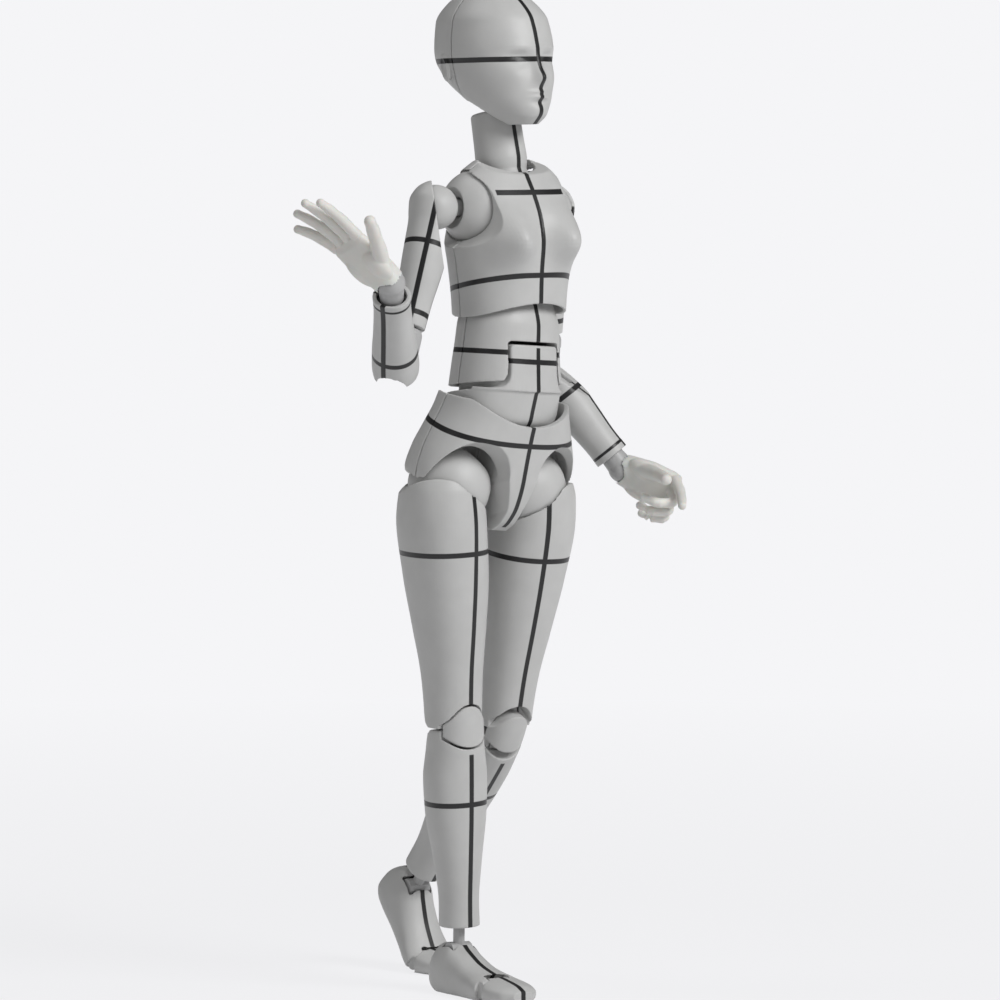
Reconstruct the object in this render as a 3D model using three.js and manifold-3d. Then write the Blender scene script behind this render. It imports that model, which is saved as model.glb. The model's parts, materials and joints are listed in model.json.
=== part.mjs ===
// An articulated drawing figure about 135 mm tall, in its photographed pose, with every joint as real pieces.
// Millimetres, +Z up. The figure faces -Y and its left side is +X. The origin is under its right foot.
// Every piece is drawn in one neutral stance, upright with the arms hanging, and the joints then pose it.
import * as THREE from 'three';
import { mergeVertices } from 'three/addons/utils/BufferGeometryUtils.js';
import Module from 'manifold-3d';

const wasm = await Module();
wasm.setup();

// Clearances
const runningGap = 0.3;
const seamGap = 0.2;
const pinGap = 0.25;

// Lengths from joint to joint, from the sole up
const ankleHeight = 5.6;
const shinLength = 28.2;
const kneePinSpacing = 4.4;
const thighLength = 30.3;
const hipToWaist = 10.8;
const waistToMiddle = 6.4;
const middleToChest = 7.6;
const chestToShoulder = 12.8;
const chestToNeck = 16.4;
const neckLength = 12.6;
const upperArmLength = 20.6;
const elbowPinSpacing = 3.4;
const forearmLength = 15;

// Sideways places
const hipSpread = 6.5;
const shoulderPivotSpread = 4.2;
const shoulderSpread = 11.3;

// Head
const headWidth = 14.4;
const headDepth = 17;
const headHeight = 18.4;
const chinBelowJoint = 5;
const headJointBack = 0.6;

// Neck
const neckWidth = 7;
const neckBaseRadius = 3.4;
const neckBallRadius = 2.1;

// Torso
const chestWidth = 19;
const chestFront = 6.9;
const chestBack = 6.4;
const bustHeight = 2.3;
const bustSpread = 4.5;
const bustReach = 2.8;
const bustDrop = 4.3;
const chestRimDrop = 2.6;
const chestTopRise = 6.4;
const abdomenWidth = 16;
const abdomenFront = 5.6;
const abdomenBack = 5.1;
const shellWall = 0.75;
const tabWidth = 8.4;
const tabRise = 2.3;
const pelvisWidth = 24;
const pelvisFront = 6.8;
const pelvisBack = 8.3;
const crotchDrop = 5.8;
const torsoBallRadius = 2.3;
const torsoPegRadius = 1.25;

// Hip
const hipBallRadius = 2.4;
const hipPegRadius = 1.25;
const hipInsertRadius = 5.6;
const hipCavityRadius = 7;
const webHalfWidth = 2.5;
const legOpeningWidth = 10.4;
const legOpeningRise = 5;
const legOpeningTilt = 22;

// Leg
const thighWidth = 11.8;
const thighFront = 6.6;
const thighBack = 6.8;
const kneeWidth = 7.4;
const kneeDepth = 4.1;
const kneeCapWidth = 6.6;
const kneeCapHeight = 6.4;
const kneePinRadius = 0.8;
const kneePlate = 2.8;
const kneePinInset = 0.9;
const calfWidth = 8.4;
const ankleWidth = 5.6;
const footLength = 20;
const footWidth = 7.4;
const heelBehindAnkle = 4.6;
const toeLength = 6.2;
const toeHeight = 3.2;
const toePinRadius = 0.6;
const ankleBallRadius = 1.6;

// Shoulder
const shoulderBallRadius = 2.9;
const shoulderDomeRadius = 3.8;
const shoulderInsertRadius = 5.2;
const shoulderPegRadius = 1.1;
const pivotRadius = 1.5;
const pivotHeight = 3.4;
const eyeRadius = 1.15;
const eyePlate = 1;
const armholeRadius = 5.6;

// Arm
const upperArmWidth = 5.9;
const upperArmEndWidth = 4.4;
const elbowWidth = 4.2;
const elbowPinRadius = 0.55;
const elbowPlate = 1.3;
const elbowPinInset = 0.5;
const forearmWidth = 6.2;
const wristWidth = 4.6;
const wristPegWidth = 2.7;
const handLength = 16.4;
const palmWidth = 6;
const palmThickness = 2.6;
const fingerWidth = 1.35;

// Head and neck joints
const neckTopBelowHead = 3.4;
const headSocketRoof = 1.8;
const flangeThickness = 0.9;
const neckPegLength = 6.6;
const neckPegRadius = 1;
const headPegLength = 8.2;
const neckY = 0.6;
const neckBottomDrop = 1.6;

// Chest shell, its armholes, collar and peg
const chestRoofRise = 4;
const chestArchRise = 2.7;
const armholeCentreOut = 10.4;
const collarTilt = 20;
const insertFrontEdge = 80;
const insertBackEdge = 50;
const chestPegLength = 6.4;
const torsoFlange = 2.1;
const chestWall = 0.45;

// Abdomen, its hollow and the lower block
const abdomenSkirtDrop = 3.9;
const abdomenTopRise = 1.9;
const skirtCavityRise = 3;
const middleBallRadius = 2.1;
const middlePegLength = 4.3;
const lowerDepth = 3.5;
const domeRise = 2.3;
const hipRimWidth = 17.1;
const hipRimFront = 5.5;
const hipRimBack = 5.5;
const cupGap = 0.6;

// Pelvis rim, web and pegs
const pelvisRimRise = 1.9;
const pelvisRimDip = 3.6;
const webBottomHalf = 1.2;
const waistPegLength = 6.6;
const pegCollar = 1.85;
const pegCollarThickness = 0.8;
const pegInnerEnd = 0.35;

// Hip insert
const spreadLimit = 40;
const closeLimit = 8;
const insertPegRadius = 1.6;
const insertPegEnd = 10;

// Thigh rim and knee
const thighRimRise = 0.85;
const thighRimTilt = -8;
const kneeY = 0.2;
const bendLimit = 65;
const kneeReach = 1.6;
const kneeCapInner = 2.5;

// Shin, ankle and toe
const shinFront = 3.9;
const shinBack = 4.7;
const shinBottomRise = 3.4;
const ankleBallRise = 5;
const ankleStemRadius = 0.8;
const ankleBarrelRadius = 1.2;
const ankleBarrelHalf = 1.6;
const toeHingeZ = 1.65;
const lugRadius = 1.3;
const tongueHalf = 1.5;

// Arm, elbow and wrist
const armCutTilt = 25;
const armRimAboveElbow = 3.6;
const swivelPegRadius = 0.9;
const swivelPegLength = 5;
const elbowBend = 75;
const elbowReach = 1.2;
const elbowCapInner = 1.45;
const elbowCapWidth = 3.4;
const elbowCapHeight = 6;
const forearmRimAboveWrist = 2.2;
const wristPegRadius = 0.85;
const wristPegLength = 4.4;
const wristBallRadius = 0.95;
const thumbAngle = 42;

// Heights in the neutral stance
const kneeLowZ = ankleHeight + shinLength;
const kneeMiddleZ = kneeLowZ + kneePinSpacing / 2;
const kneeHighZ = kneeLowZ + kneePinSpacing;
const hipZ = kneeHighZ + thighLength;
const waistZ = hipZ + hipToWaist;
const middleZ = waistZ + waistToMiddle;
const chestZ = middleZ + middleToChest;
const shoulderZ = chestZ + chestToShoulder;
const neckZ = chestZ + chestToNeck;
const headZ = neckZ + neckLength;
const elbowHighZ = shoulderZ - upperArmLength;
const elbowMiddleZ = elbowHighZ - elbowPinSpacing / 2;
const elbowLowZ = elbowHighZ - elbowPinSpacing;
const wristZ = elbowLowZ - forearmLength;

const LATERAL = [1, 0, 0];
const FORE_AFT = [0, 1, 0];
const UPRIGHT = [0, 0, 1];
const far = 400;
const touchdownSearch = 4;

function solidOf(geometry) {
  const bare = geometry.index ? geometry.toNonIndexed() : geometry.clone();
  for (const name of Object.keys(bare.attributes)) {
    if (name !== 'position') bare.deleteAttribute(name);
  }
  const merged = mergeVertices(bare, 1e-4);
  const corners = merged.index.array;
  const triangles = [];
  for (let i = 0; i < corners.length; i += 3) {
    const [a, b, c] = [corners[i], corners[i + 1], corners[i + 2]];
    if (a !== b && b !== c && c !== a) triangles.push(a, b, c);
  }
  const vertProperties = Float32Array.from(merged.attributes.position.array);
  return new wasm.Manifold(new wasm.Mesh({ numProp: 3, vertProperties, triVerts: Uint32Array.from(triangles) }));
}

function geometryOf(solid) {
  const { vertProperties, triVerts } = solid.getMesh();
  const geometry = new THREE.BufferGeometry();
  geometry.setAttribute('position', new THREE.BufferAttribute(Float32Array.from(vertProperties), 3));
  geometry.setIndex(Array.from(triVerts));
  geometry.computeVertexNormals();
  return geometry;
}

// A smooth value through (place, value) pairs that never overshoots them.
function smoothly(places, values, place) {
  let i = 0;
  while (i < places.length - 2 && place > places[i + 1]) i += 1;
  const slope = (k) => (values[k + 1] - values[k]) / (places[k + 1] - places[k]);
  const tangent = (k) => {
    if (k === 0) return slope(0);
    if (k === places.length - 1) return slope(k - 1);
    const [before, after] = [slope(k - 1), slope(k)];
    return before * after <= 0 ? 0 : (2 * before * after) / (before + after);
  };
  const span = places[i + 1] - places[i];
  const t = (place - places[i]) / span;
  return values[i] * (2 * t ** 3 - 3 * t ** 2 + 1) + values[i + 1] * (3 * t ** 2 - 2 * t ** 3)
    + span * (tangent(i) * (t ** 3 - 2 * t ** 2 + t) + tangent(i + 1) * (t ** 3 - t ** 2));
}

// A closed body through level sections, each given as
// [height, half width, front depth, back depth, x of the middle, y of the middle].
function loft(sections, { sides = 18, steps = 2, squareness = 2.3, relief = null } = {}) {
  const heights = sections.map((section) => section[0]);
  const column = (k) => sections.map((section) => section[k] ?? 0);
  const positions = [];
  const rings = (sections.length - 1) * steps + 1;
  for (let ring = 0; ring < rings; ring += 1) {
    const i = Math.min(Math.floor(ring / steps), sections.length - 2);
    const z = heights[i] + (heights[i + 1] - heights[i]) * ((ring - i * steps) / steps);
    const [half, front, back, x0, y0] = [1, 2, 3, 4, 5].map((k) => smoothly(heights, column(k), z));
    for (let side = 0; side < sides; side += 1) {
      const angle = (2 * Math.PI * (side + 0.5)) / sides;
      const [c, s] = [Math.cos(angle), Math.sin(angle)];
      const x = x0 + half * Math.sign(c) * Math.abs(c) ** (2 / squareness);
      const y = y0 + (s < 0 ? front : back) * Math.sign(s) * Math.abs(s) ** (2 / squareness);
      positions.push(...(relief ? relief(x, y, z) : [x, y, z]));
    }
  }
  return skin(positions, rings, sides);
}

// Joins rings of points into one closed surface with flat ends.
function skin(positions, rings, sides) {
  const index = [];
  for (let ring = 0; ring < rings - 1; ring += 1) {
    for (let side = 0; side < sides; side += 1) {
      const next = (side + 1) % sides;
      const [a, b, c, d] = [side, next, sides + next, sides + side].map((k) => k + ring * sides);
      index.push(a, b, c, a, c, d);
    }
  }
  const top = (rings - 1) * sides;
  for (let side = 1; side < sides - 1; side += 1) {
    index.push(0, side + 1, side, top, top + side, top + side + 1);
  }
  const geometry = new THREE.BufferGeometry();
  geometry.setAttribute('position', new THREE.Float32BufferAttribute(positions, 3));
  geometry.setIndex(index);
  return geometry;
}

const body = (sections, options) => solidOf(loft(sections, options));

function ball(centre, radius, detail = 1) {
  return solidOf(new THREE.IcosahedronGeometry(radius, detail).translate(...centre));
}

function rod(from, to, radius, sides = 8, endRadius = radius) {
  const [a, b] = [new THREE.Vector3(...from), new THREE.Vector3(...to)];
  const along = b.clone().sub(a);
  const geometry = new THREE.CylinderGeometry(endRadius, radius, along.length(), sides);
  geometry.applyQuaternion(new THREE.Quaternion().setFromUnitVectors(new THREE.Vector3(0, 1, 0),
    along.clone().normalize()));
  return solidOf(geometry.translate(...a.add(b).multiplyScalar(0.5).toArray()));
}

function block(low, high) {
  const size = high.map((value, k) => value - low[k]);
  const middle = high.map((value, k) => (value + low[k]) / 2);
  return solidOf(new THREE.BoxGeometry(...size).translate(...middle));
}

// A profile of [radius, height] points turned about an upright axis.
function turned(profile, centre, sides) {
  const geometry = new THREE.LatheGeometry(profile.map(([r, h]) => new THREE.Vector2(r, h)), sides);
  return solidOf(geometry.rotateX(Math.PI / 2).translate(...centre));
}

// Everything on the side of a plane that its normal points to, as a big block.
function beyond(point, normal) {
  const geometry = new THREE.BoxGeometry(far, far, far).translate(0, 0, far / 2);
  const towards = new THREE.Vector3(...normal).normalize();
  geometry.applyQuaternion(new THREE.Quaternion().setFromUnitVectors(new THREE.Vector3(0, 0, 1), towards));
  return solidOf(geometry.translate(...point));
}

// A drawn X-Z outline, pushed through from one y to another.
function pushedThrough(shape, fromY, toY, curveSegments = 10) {
  const geometry = new THREE.ExtrudeGeometry(shape, { depth: toY - fromY, bevelEnabled: false, curveSegments });
  return solidOf(geometry.rotateX(Math.PI / 2).translate(0, toY, 0));
}

// The plane normal that an upward normal becomes after a turn about the X axis.
function tippedBack(degrees, up = 1) {
  const angle = THREE.MathUtils.degToRad(degrees);
  return [0, -up * Math.sin(angle), up * Math.cos(angle)];
}

function material(color) {
  return new THREE.MeshStandardMaterial({ color, roughness: 0.55, metalness: 0 });
}

const shellGrey = 0xbdbec0;
const jointGrey = 0xa9aaac;
const handGrey = 0xcfcfca;

// Right-hand pieces are left-hand pieces seen in a mirror.
function sided(solid, side) {
  const geometry = geometryOf(solid);
  if (side > 0) return geometry;
  geometry.scale(-1, 1, 1);
  const index = geometry.index.array;
  for (let i = 0; i < index.length; i += 3) [index[i], index[i + 1]] = [index[i + 1], index[i]];
  geometry.computeVertexNormals();
  return geometry;
}

function addPiece(group, name, solid, color, side = 1) {
  const mesh = new THREE.Mesh(sided(solid, side), material(color));
  mesh.name = name;
  group.add(mesh);
}

// A hinge between a parent group and the pieces beyond it. Its range and pose are degrees from the neutral
// stance, positive by the right-hand rule about the axis.
function hinge(parent, name, pivot, axis, [low, high], degrees) {
  const group = new THREE.Group();
  group.userData = { joint: name, pivot, axis, low, high };
  turnTo(group, degrees);
  parent.add(group);
  return group;
}

function turnTo(group, degrees) {
  const centre = new THREE.Vector3(...group.userData.pivot);
  const axis = new THREE.Vector3(...group.userData.axis).normalize();
  group.quaternion.setFromAxisAngle(axis, THREE.MathUtils.degToRad(degrees));
  group.position.copy(centre.clone().sub(centre.clone().applyQuaternion(group.quaternion)));
  group.userData.degrees = degrees;
}

// Rows of shares become loft sections: [share of the height, of the half width, of the front, of the back].
function shaped(rows, lowZ, highZ, width, front, back, x0 = 0, y0 = 0) {
  return rows.map(([up, wide, fore, aft, aside = 0]) => [
    lowZ + (highZ - lowZ) * up, (width / 2) * wide, front * fore, back * aft, x0 + aside, y0,
  ]);
}

// Head: an egg with a brow, a small nose and a chin, split behind the ears.
const headForm = [
  [0, 0.26, 0.34, 0.1], [0.07, 0.5, 0.62, 0.22], [0.2, 0.76, 0.9, 0.5], [0.36, 0.92, 0.97, 0.86],
  [0.55, 1, 1, 1], [0.75, 0.95, 0.9, 0.98], [0.9, 0.7, 0.62, 0.76], [0.975, 0.36, 0.3, 0.4], [1, 0.12, 0.1, 0.14],
];
const chinForward = [[0, 4.9], [0.2, 1.4], [0.45, 0]];

function faceRelief(lowZ) {
  return (x, y, z) => {
    const up = (z - lowZ) / headHeight;
    const forward = smoothly(chinForward.map(([at]) => at), chinForward.map(([, reach]) => reach), Math.min(up, 0.45));
    const faceSide = y < 0 ? 1 : 0;
    const nose = 0.9 * Math.exp(-((x / 1.1) ** 2) - ((up - 0.33) / 0.06) ** 2);
    const bridge = 0.4 * Math.exp(-((x / 0.9) ** 2) - ((up - 0.42) / 0.08) ** 2);
    const eyes = -0.55 * Math.exp(-(((Math.abs(x) - 2.9) / 1.5) ** 2) - ((up - 0.47) / 0.055) ** 2);
    return [x, y - forward - faceSide * (nose + bridge + eyes), z];
  };
}

function headHalves() {
  const chinZ = headZ - chinBelowJoint;
  const sections = shaped(headForm, chinZ, chinZ + headHeight, headWidth, headDepth / 2, headDepth / 2);
  const joint = [0, headJointBack, headZ];
  const mouthOfSocket = headZ - headSocketRoof;
  const whole = body(sections, { sides: 18, steps: 1, squareness: 2.1, relief: faceRelief(chinZ) })
    .subtract(ball(joint, neckBallRadius + runningGap))
    .subtract(rod([0, headJointBack, chinZ - 1], [0, headJointBack, mouthOfSocket], neckWidth / 2 + 1.4, 12));
  return splitFrontBack(whole, headJointBack);
}

// Two moulded shells that meet on a plane through the body's sides.
function splitFrontBack(solid, y) {
  const front = solid.subtract(beyond([0, y - seamGap / 2, 0], [0, 1, 0]));
  const back = solid.subtract(beyond([0, y + seamGap / 2, 0], [0, -1, 0]));
  return [front, back];
}

// A ball on a peg: the peg turns in one piece and the ball bends in the next.
function ballPeg(centre, ballRadius, pegEnd, pegRadius, flange = 0) {
  const peg = ball(centre, ballRadius).add(rod(centre, pegEnd, pegRadius));
  if (!flange) return peg;
  const inward = Math.sign(centre[2] - pegEnd[2]);
  const flangeTop = [pegEnd[0], pegEnd[1], pegEnd[2] + inward * flangeThickness];
  return peg.add(rod(pegEnd, flangeTop, flange));
}

function neckPiece() {
  const topZ = headZ - neckTopBelowHead;
  const half = neckWidth / 2;
  const profile = [[0, -neckBottomDrop]];
  for (const degrees of [-28, -12, 4, 20]) {
    const angle = THREE.MathUtils.degToRad(degrees);
    profile.push([neckBaseRadius * Math.cos(angle), neckBaseRadius * Math.sin(angle)]);
  }
  profile.push([half - 0.1, neckBaseRadius], [half - 0.2, topZ - neckZ], [0, topZ - neckZ]);
  return turned(profile, [0, neckY, neckZ], 14)
    .subtract(ball([0, neckY, neckZ], neckBallRadius + runningGap))
    .subtract(rod([0, neckY, headZ - headPegLength - runningGap], [0, neckY, topZ + 1], neckPegRadius + pinGap));
}

// Chest: ribcage with a bust, armholes, a collar and an arched lower rim.
const chestForm = [
  [0, 0.885, 0.95, 0.95], [0.15, 0.895, 0.955, 0.96], [0.35, 0.93, 0.97, 0.98], [0.5, 0.965, 0.98, 1.01],
  [0.65, 0.985, 0.9, 1.01], [0.8, 0.93, 0.75, 0.95], [0.92, 0.72, 0.55, 0.78], [1, 0.47, 0.44, 0.58],
];

function bustRelief(x, y, z) {
  if (y > 0) return [x, y, z];
  const across = (Math.abs(x) - bustSpread) / bustReach;
  const level = shoulderZ - bustDrop;
  const upDown = (z - level) / (z > level ? 3.4 : 3);
  return [x, y - bustHeight * Math.exp(-(across ** 2) - upDown ** 2), z];
}

function shoulderPivotAt() {
  return [shoulderPivotSpread, neckY, shoulderZ];
}

function shoulderJointAt() {
  return [shoulderSpread, neckY, shoulderZ];
}

function chestArmhole(side) {
  const [, y, z] = shoulderPivotAt();
  const x = side * shoulderPivotSpread;
  const cavity = ball([x, y, z], shoulderInsertRadius + runningGap, 2)
    .subtract(beyond([x - side * runningGap, 0, 0], [-side, 0, 0]));
  const out = side * armholeCentreOut;
  const opening = rod([out, -far / 2, z], [out, far / 2, z], armholeRadius, 16);
  const half = pivotHeight / 2 + runningGap;
  return cavity.add(opening).add(rod([x, y, z - half], [x, y, z + half], pivotRadius + runningGap, 10));
}

function chestHalves() {
  const rimZ = chestZ - chestRimDrop;
  const roofZ = chestZ + chestRoofRise;
  const outer = body(shaped(chestForm, rimZ, shoulderZ + chestTopRise, chestWidth, chestFront, chestBack),
    { sides: 18, steps: 1, squareness: 2.25, relief: bustRelief });
  const hollow = body([
    [rimZ - 1, chestWidth / 2 * 0.885 - chestWall, chestFront * 0.95 - chestWall, chestBack * 0.95 - chestWall],
    [chestZ, chestWidth / 2 * 0.89 - chestWall, chestFront * 0.95 - chestWall, chestBack * 0.95 - chestWall],
    [roofZ, chestWidth / 2 * 0.84 - chestWall, chestFront * 0.86 - chestWall, chestBack * 0.88 - chestWall],
  ], { sides: 14, steps: 1, squareness: 2.25 });
  const archRadius = ((chestWidth / 2) ** 2 + chestArchRise ** 2) / (2 * chestArchRise);
  const archMiddle = rimZ + chestArchRise - archRadius;
  const arch = rod([0, -far / 2, archMiddle + 3.4], [0, far / 2, archMiddle - 3.4], archRadius, 26);
  const collarCut = beyond([0, neckY, neckZ + 2.7], tippedBack(collarTilt));
  const whole = outer.subtract(hollow).subtract(arch).subtract(collarCut)
    .subtract(ball([0, neckY, neckZ], neckBaseRadius + runningGap, 2))
    .subtract(rod([0, neckY, neckZ + 0.4], [0, neckY, neckZ + 6], neckWidth / 2 + 0.8, 14, neckWidth / 2 + 2.5))
    .subtract(rod([0, neckY, neckZ - neckPegLength - runningGap], [0, neckY, neckZ], neckPegRadius + pinGap))
    .subtract(chestPegBore())
    .subtract(chestArmhole(1)).subtract(chestArmhole(-1));
  return splitFrontBack(whole, 0);
}

function chestPegBore() {
  const top = chestZ + chestPegLength;
  const flangeGap = runningGap;
  return rod([0, 0, chestZ], [0, 0, top], torsoPegRadius + pinGap)
    .add(rod([0, 0, top - flangeThickness - flangeGap], [0, 0, top + flangeGap], torsoFlange + flangeGap));
}

// Upper abdomen: a waisted shell over the lower abdomen's dome, with a notch for its tab.
const abdomenForm = [
  [0, 1.04, 1.05, 1.04], [0.25, 1.0, 1.02, 1], [0.45, 0.975, 1, 0.98], [0.65, 0.955, 0.97, 0.96],
  [0.8, 0.875, 0.88, 0.87], [0.91, 0.79, 0.79, 0.78], [0.975, 0.68, 0.66, 0.66], [1, 0.5, 0.46, 0.46],
];

function abdomenOuter() {
  return body(shaped(abdomenForm, middleZ - abdomenSkirtDrop, chestZ + abdomenTopRise, abdomenWidth, abdomenFront,
    abdomenBack), { sides: 18, steps: 1, squareness: 2.3 });
}

function tabBlock(extra) {
  return block([-tabWidth / 2 - extra, -far / 2, middleZ - far / 2],
    [tabWidth / 2 + extra, -abdomenFront * 0.35, middleZ + tabRise + extra]);
}

function upperAbdomenHalves() {
  const skirtZ = middleZ - abdomenSkirtDrop;
  const roofZ = middleZ + skirtCavityRise;
  const hollow = body([
    [skirtZ - 1, abdomenWidth / 2 * 1.03 - shellWall, abdomenFront * 1.03 - shellWall,
      abdomenBack * 1.03 - shellWall],
    [middleZ, abdomenWidth / 2 - shellWall, abdomenFront - shellWall, abdomenBack - shellWall],
    [roofZ, abdomenWidth / 2 * 0.72, abdomenFront * 0.68, abdomenBack * 0.68],
  ], { sides: 14, steps: 1 });
  const skirtCut = beyond([0, 0, skirtZ + 0.5], tippedBack(-7, -1));
  const pegTop = middleZ + middlePegLength;
  const whole = abdomenOuter().subtract(hollow).subtract(skirtCut).subtract(tabBlock(pinGap + 0.1))
    .subtract(ball([0, 0, chestZ], torsoBallRadius + runningGap))
    .subtract(rod([0, 0, chestZ + 1], [0, 0, chestZ + 4], torsoPegRadius + 0.55, 14, torsoPegRadius + 1.1))
    .subtract(rod([0, 0, middleZ], [0, 0, pegTop + pinGap], torsoPegRadius + pinGap))
    .subtract(rod([0, 0, pegTop - flangeThickness - pinGap], [0, 0, pegTop + pinGap], torsoFlange + pinGap));
  return splitFrontBack(whole, 0);
}

// Lower abdomen: a rounded block between the two, its tab filling the notch in front.

function cupForm(widen, deepen, topZ) {
  const [half, front, back] = [hipRimWidth / 2 + widen, hipRimFront + widen, hipRimBack + widen];
  const down = lowerDepth + deepen;
  return [
    [waistZ - down, half * 0.3, front * 0.3, back * 0.3],
    [waistZ - down * 0.94, half * 0.55, front * 0.55, back * 0.55],
    [waistZ - down * 0.75, half * 0.8, front * 0.8, back * 0.8],
    [waistZ - down * 0.4, half * 0.955, front * 0.955, back * 0.955],
    [waistZ, half, front, back], [topZ, half * 0.985, front * 0.985, back * 0.985],
  ];
}

function lowerAbdomenPiece() {
  const step = waistZ + 2;
  const domeTop = middleZ + domeRise;
  const neckHalf = abdomenWidth / 2 - shellWall - 0.55;
  const [neckFront, neckBack] = [abdomenFront - shellWall - 0.5, abdomenBack - shellWall - 0.45];
  const dome = body([
    [step - 1.5, neckHalf, neckFront, neckBack], [middleZ, neckHalf, neckFront, neckBack],
    [domeTop - 0.9, neckHalf * 0.78, neckFront * 0.82, neckBack * 0.82],
    [domeTop, neckHalf * 0.5, neckFront * 0.5, neckBack * 0.5],
  ], { sides: 14, steps: 1 });
  const bowl = body(cupForm(0, 0, step + 1), { sides: 16, steps: 1 })
    .subtract(beyond([0, 0, step + 0.1], tippedBack(-9)));
  const tab = abdomenOuter().intersect(tabBlock(0)).subtract(beyond([0, 0, step - 1], [0, 0, -1]));
  return bowl.add(dome).add(tab)
    .subtract(ball([0, 0, waistZ], torsoBallRadius + runningGap))
    .subtract(rod([0, 0, waistZ - far / 2], [0, 0, waistZ - 1], torsoPegRadius + 0.8, 10))
    .subtract(ball([0, 0, middleZ], middleBallRadius + runningGap))
    .subtract(rod([0, 0, middleZ + 1], [0, 0, middleZ + far / 2], torsoPegRadius + 0.6, 10));
}

// Pelvis: a hip block with a cup on top, a web between the legs and two arched leg openings.
const pelvisForm = [
  [0, 0.5, 0.5, 0.5], [0.08, 0.76, 0.72, 0.76], [0.22, 0.93, 0.91, 0.95], [0.4, 1, 1, 1],
  [0.56, 0.97, 0.99, 0.93], [0.74, 0.9, 0.965, 0.81], [0.9, 0.835, 0.955, 0.78], [1, 0.8, 0.95, 0.79],
];

function hipAt() {
  return [hipSpread, 0.2, hipZ];
}

function legOpening(side) {
  const arch = new THREE.Shape();
  const middle = webHalfWidth + legOpeningWidth / 2 - 0.2;
  arch.moveTo(webBottomHalf, -crotchDrop - 1);
  arch.lineTo(webBottomHalf, -crotchDrop + 1.6);
  arch.quadraticCurveTo(webBottomHalf + 0.3, -3, middle - legOpeningWidth / 2, -0.6);
  arch.absellipse(middle, -0.6, legOpeningWidth / 2, legOpeningRise, Math.PI, 0, true);
  arch.lineTo(far / 2, -0.6);
  arch.lineTo(far / 2, -crotchDrop - far / 4);
  arch.lineTo(webBottomHalf, -crotchDrop - far / 4);
  arch.closePath();
  const geometry = new THREE.ExtrudeGeometry(arch, { depth: far, bevelEnabled: false, curveSegments: 8 });
  geometry.rotateX(Math.PI / 2).translate(0, far / 2, 0);
  geometry.rotateX(THREE.MathUtils.degToRad(-legOpeningTilt)).translate(0, 0, hipZ);
  const opening = solidOf(geometry);
  return side > 0 ? opening : solidOf(sided(opening, side));
}

function hipCavity(side) {
  const [x, y, z] = hipAt();
  return ball([side * x, y, z], hipCavityRadius, 2).subtract(beyond([side * webHalfWidth, 0, 0], [-side, 0, 0]));
}

function hipPegBore() {
  const [, y, z] = hipAt();
  const [through, collar] = [webHalfWidth + 1, pegInnerEnd + pegCollarThickness + pinGap];
  return rod([-through, y, z], [through, y, z], hipPegRadius + pinGap)
    .add(rod([-collar, y, z], [collar, y, z], pegCollar + pinGap));
}

function pelvisHalves() {
  const rimZ = waistZ + pelvisRimRise;
  const outer = body(shaped(pelvisForm, hipZ - crotchDrop, rimZ, pelvisWidth, pelvisFront, pelvisBack),
    { sides: 18, steps: 1, squareness: 2.3 });
  const cup = body(cupForm(cupGap, cupGap + 0.2, rimZ + 1), { sides: 16, steps: 1 });
  const dipRadius = ((hipRimWidth / 2) ** 2 + pelvisRimDip ** 2) / (2 * pelvisRimDip);
  const dip = rod([0, -far / 2, rimZ - pelvisRimDip + dipRadius - 3.2],
    [0, far / 2, rimZ - pelvisRimDip + dipRadius + 4.2], dipRadius, 24);
  let whole = outer.subtract(cup).subtract(dip).subtract(hipPegBore())
    .subtract(rod([0, 0, waistZ - waistPegLength - runningGap], [0, 0, waistZ], torsoPegRadius + pinGap));
  for (const side of [1, -1]) {
    whole = whole.subtract(hipCavity(side)).subtract(legOpening(side));
  }
  return splitFrontBack(whole, hipAt()[1]);
}

function hipAxle() {
  const [x, y, z] = hipAt();
  return ball([x, y, z], hipBallRadius)
    .add(rod([x, y, z], [pegInnerEnd, y, z], hipPegRadius))
    .add(rod([pegInnerEnd, y, z], [pegInnerEnd + pegCollarThickness, y, z], pegCollar));
}

// Hip insert: a ball flattened towards the web, on the axle's ball, with a peg down into the thigh.

function hipInsert() {
  const [x, y, z] = hipAt();
  const inner = webHalfWidth + 0.5 - x;
  let insert = ball([x, y, z], hipInsertRadius, 2).add(rod([x, y, z], [x, y, z - insertPegEnd], insertPegRadius));
  for (const tilt of [-closeLimit, 0, spreadLimit / 2, spreadLimit]) {
    const angle = THREE.MathUtils.degToRad(tilt);
    const normal = [-Math.cos(angle), 0, Math.sin(angle)];
    insert = insert.subtract(beyond([x + inner * Math.cos(angle), y, z - inner * Math.sin(angle)], normal));
  }
  const mouth = rod([x, y, z], [x - far / 2, y, z], hipPegRadius + 0.45, 10);
  const slot = new THREE.Vector3(-Math.cos(THREE.MathUtils.degToRad(spreadLimit)), 0,
    Math.sin(THREE.MathUtils.degToRad(spreadLimit))).multiplyScalar(far / 2);
  const tilted = rod([x, y, z], [x + slot.x, y, z + slot.z], hipPegRadius + 0.45, 10);
  const halfway = rod([x, y, z], [x + slot.x * 1.1, y, z + slot.z * 0.5], hipPegRadius + 0.45, 10);
  return insert.subtract(ball([x, y, z], hipBallRadius + runningGap)).subtract(mouth).subtract(tilted)
    .subtract(halfway);
}

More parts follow.
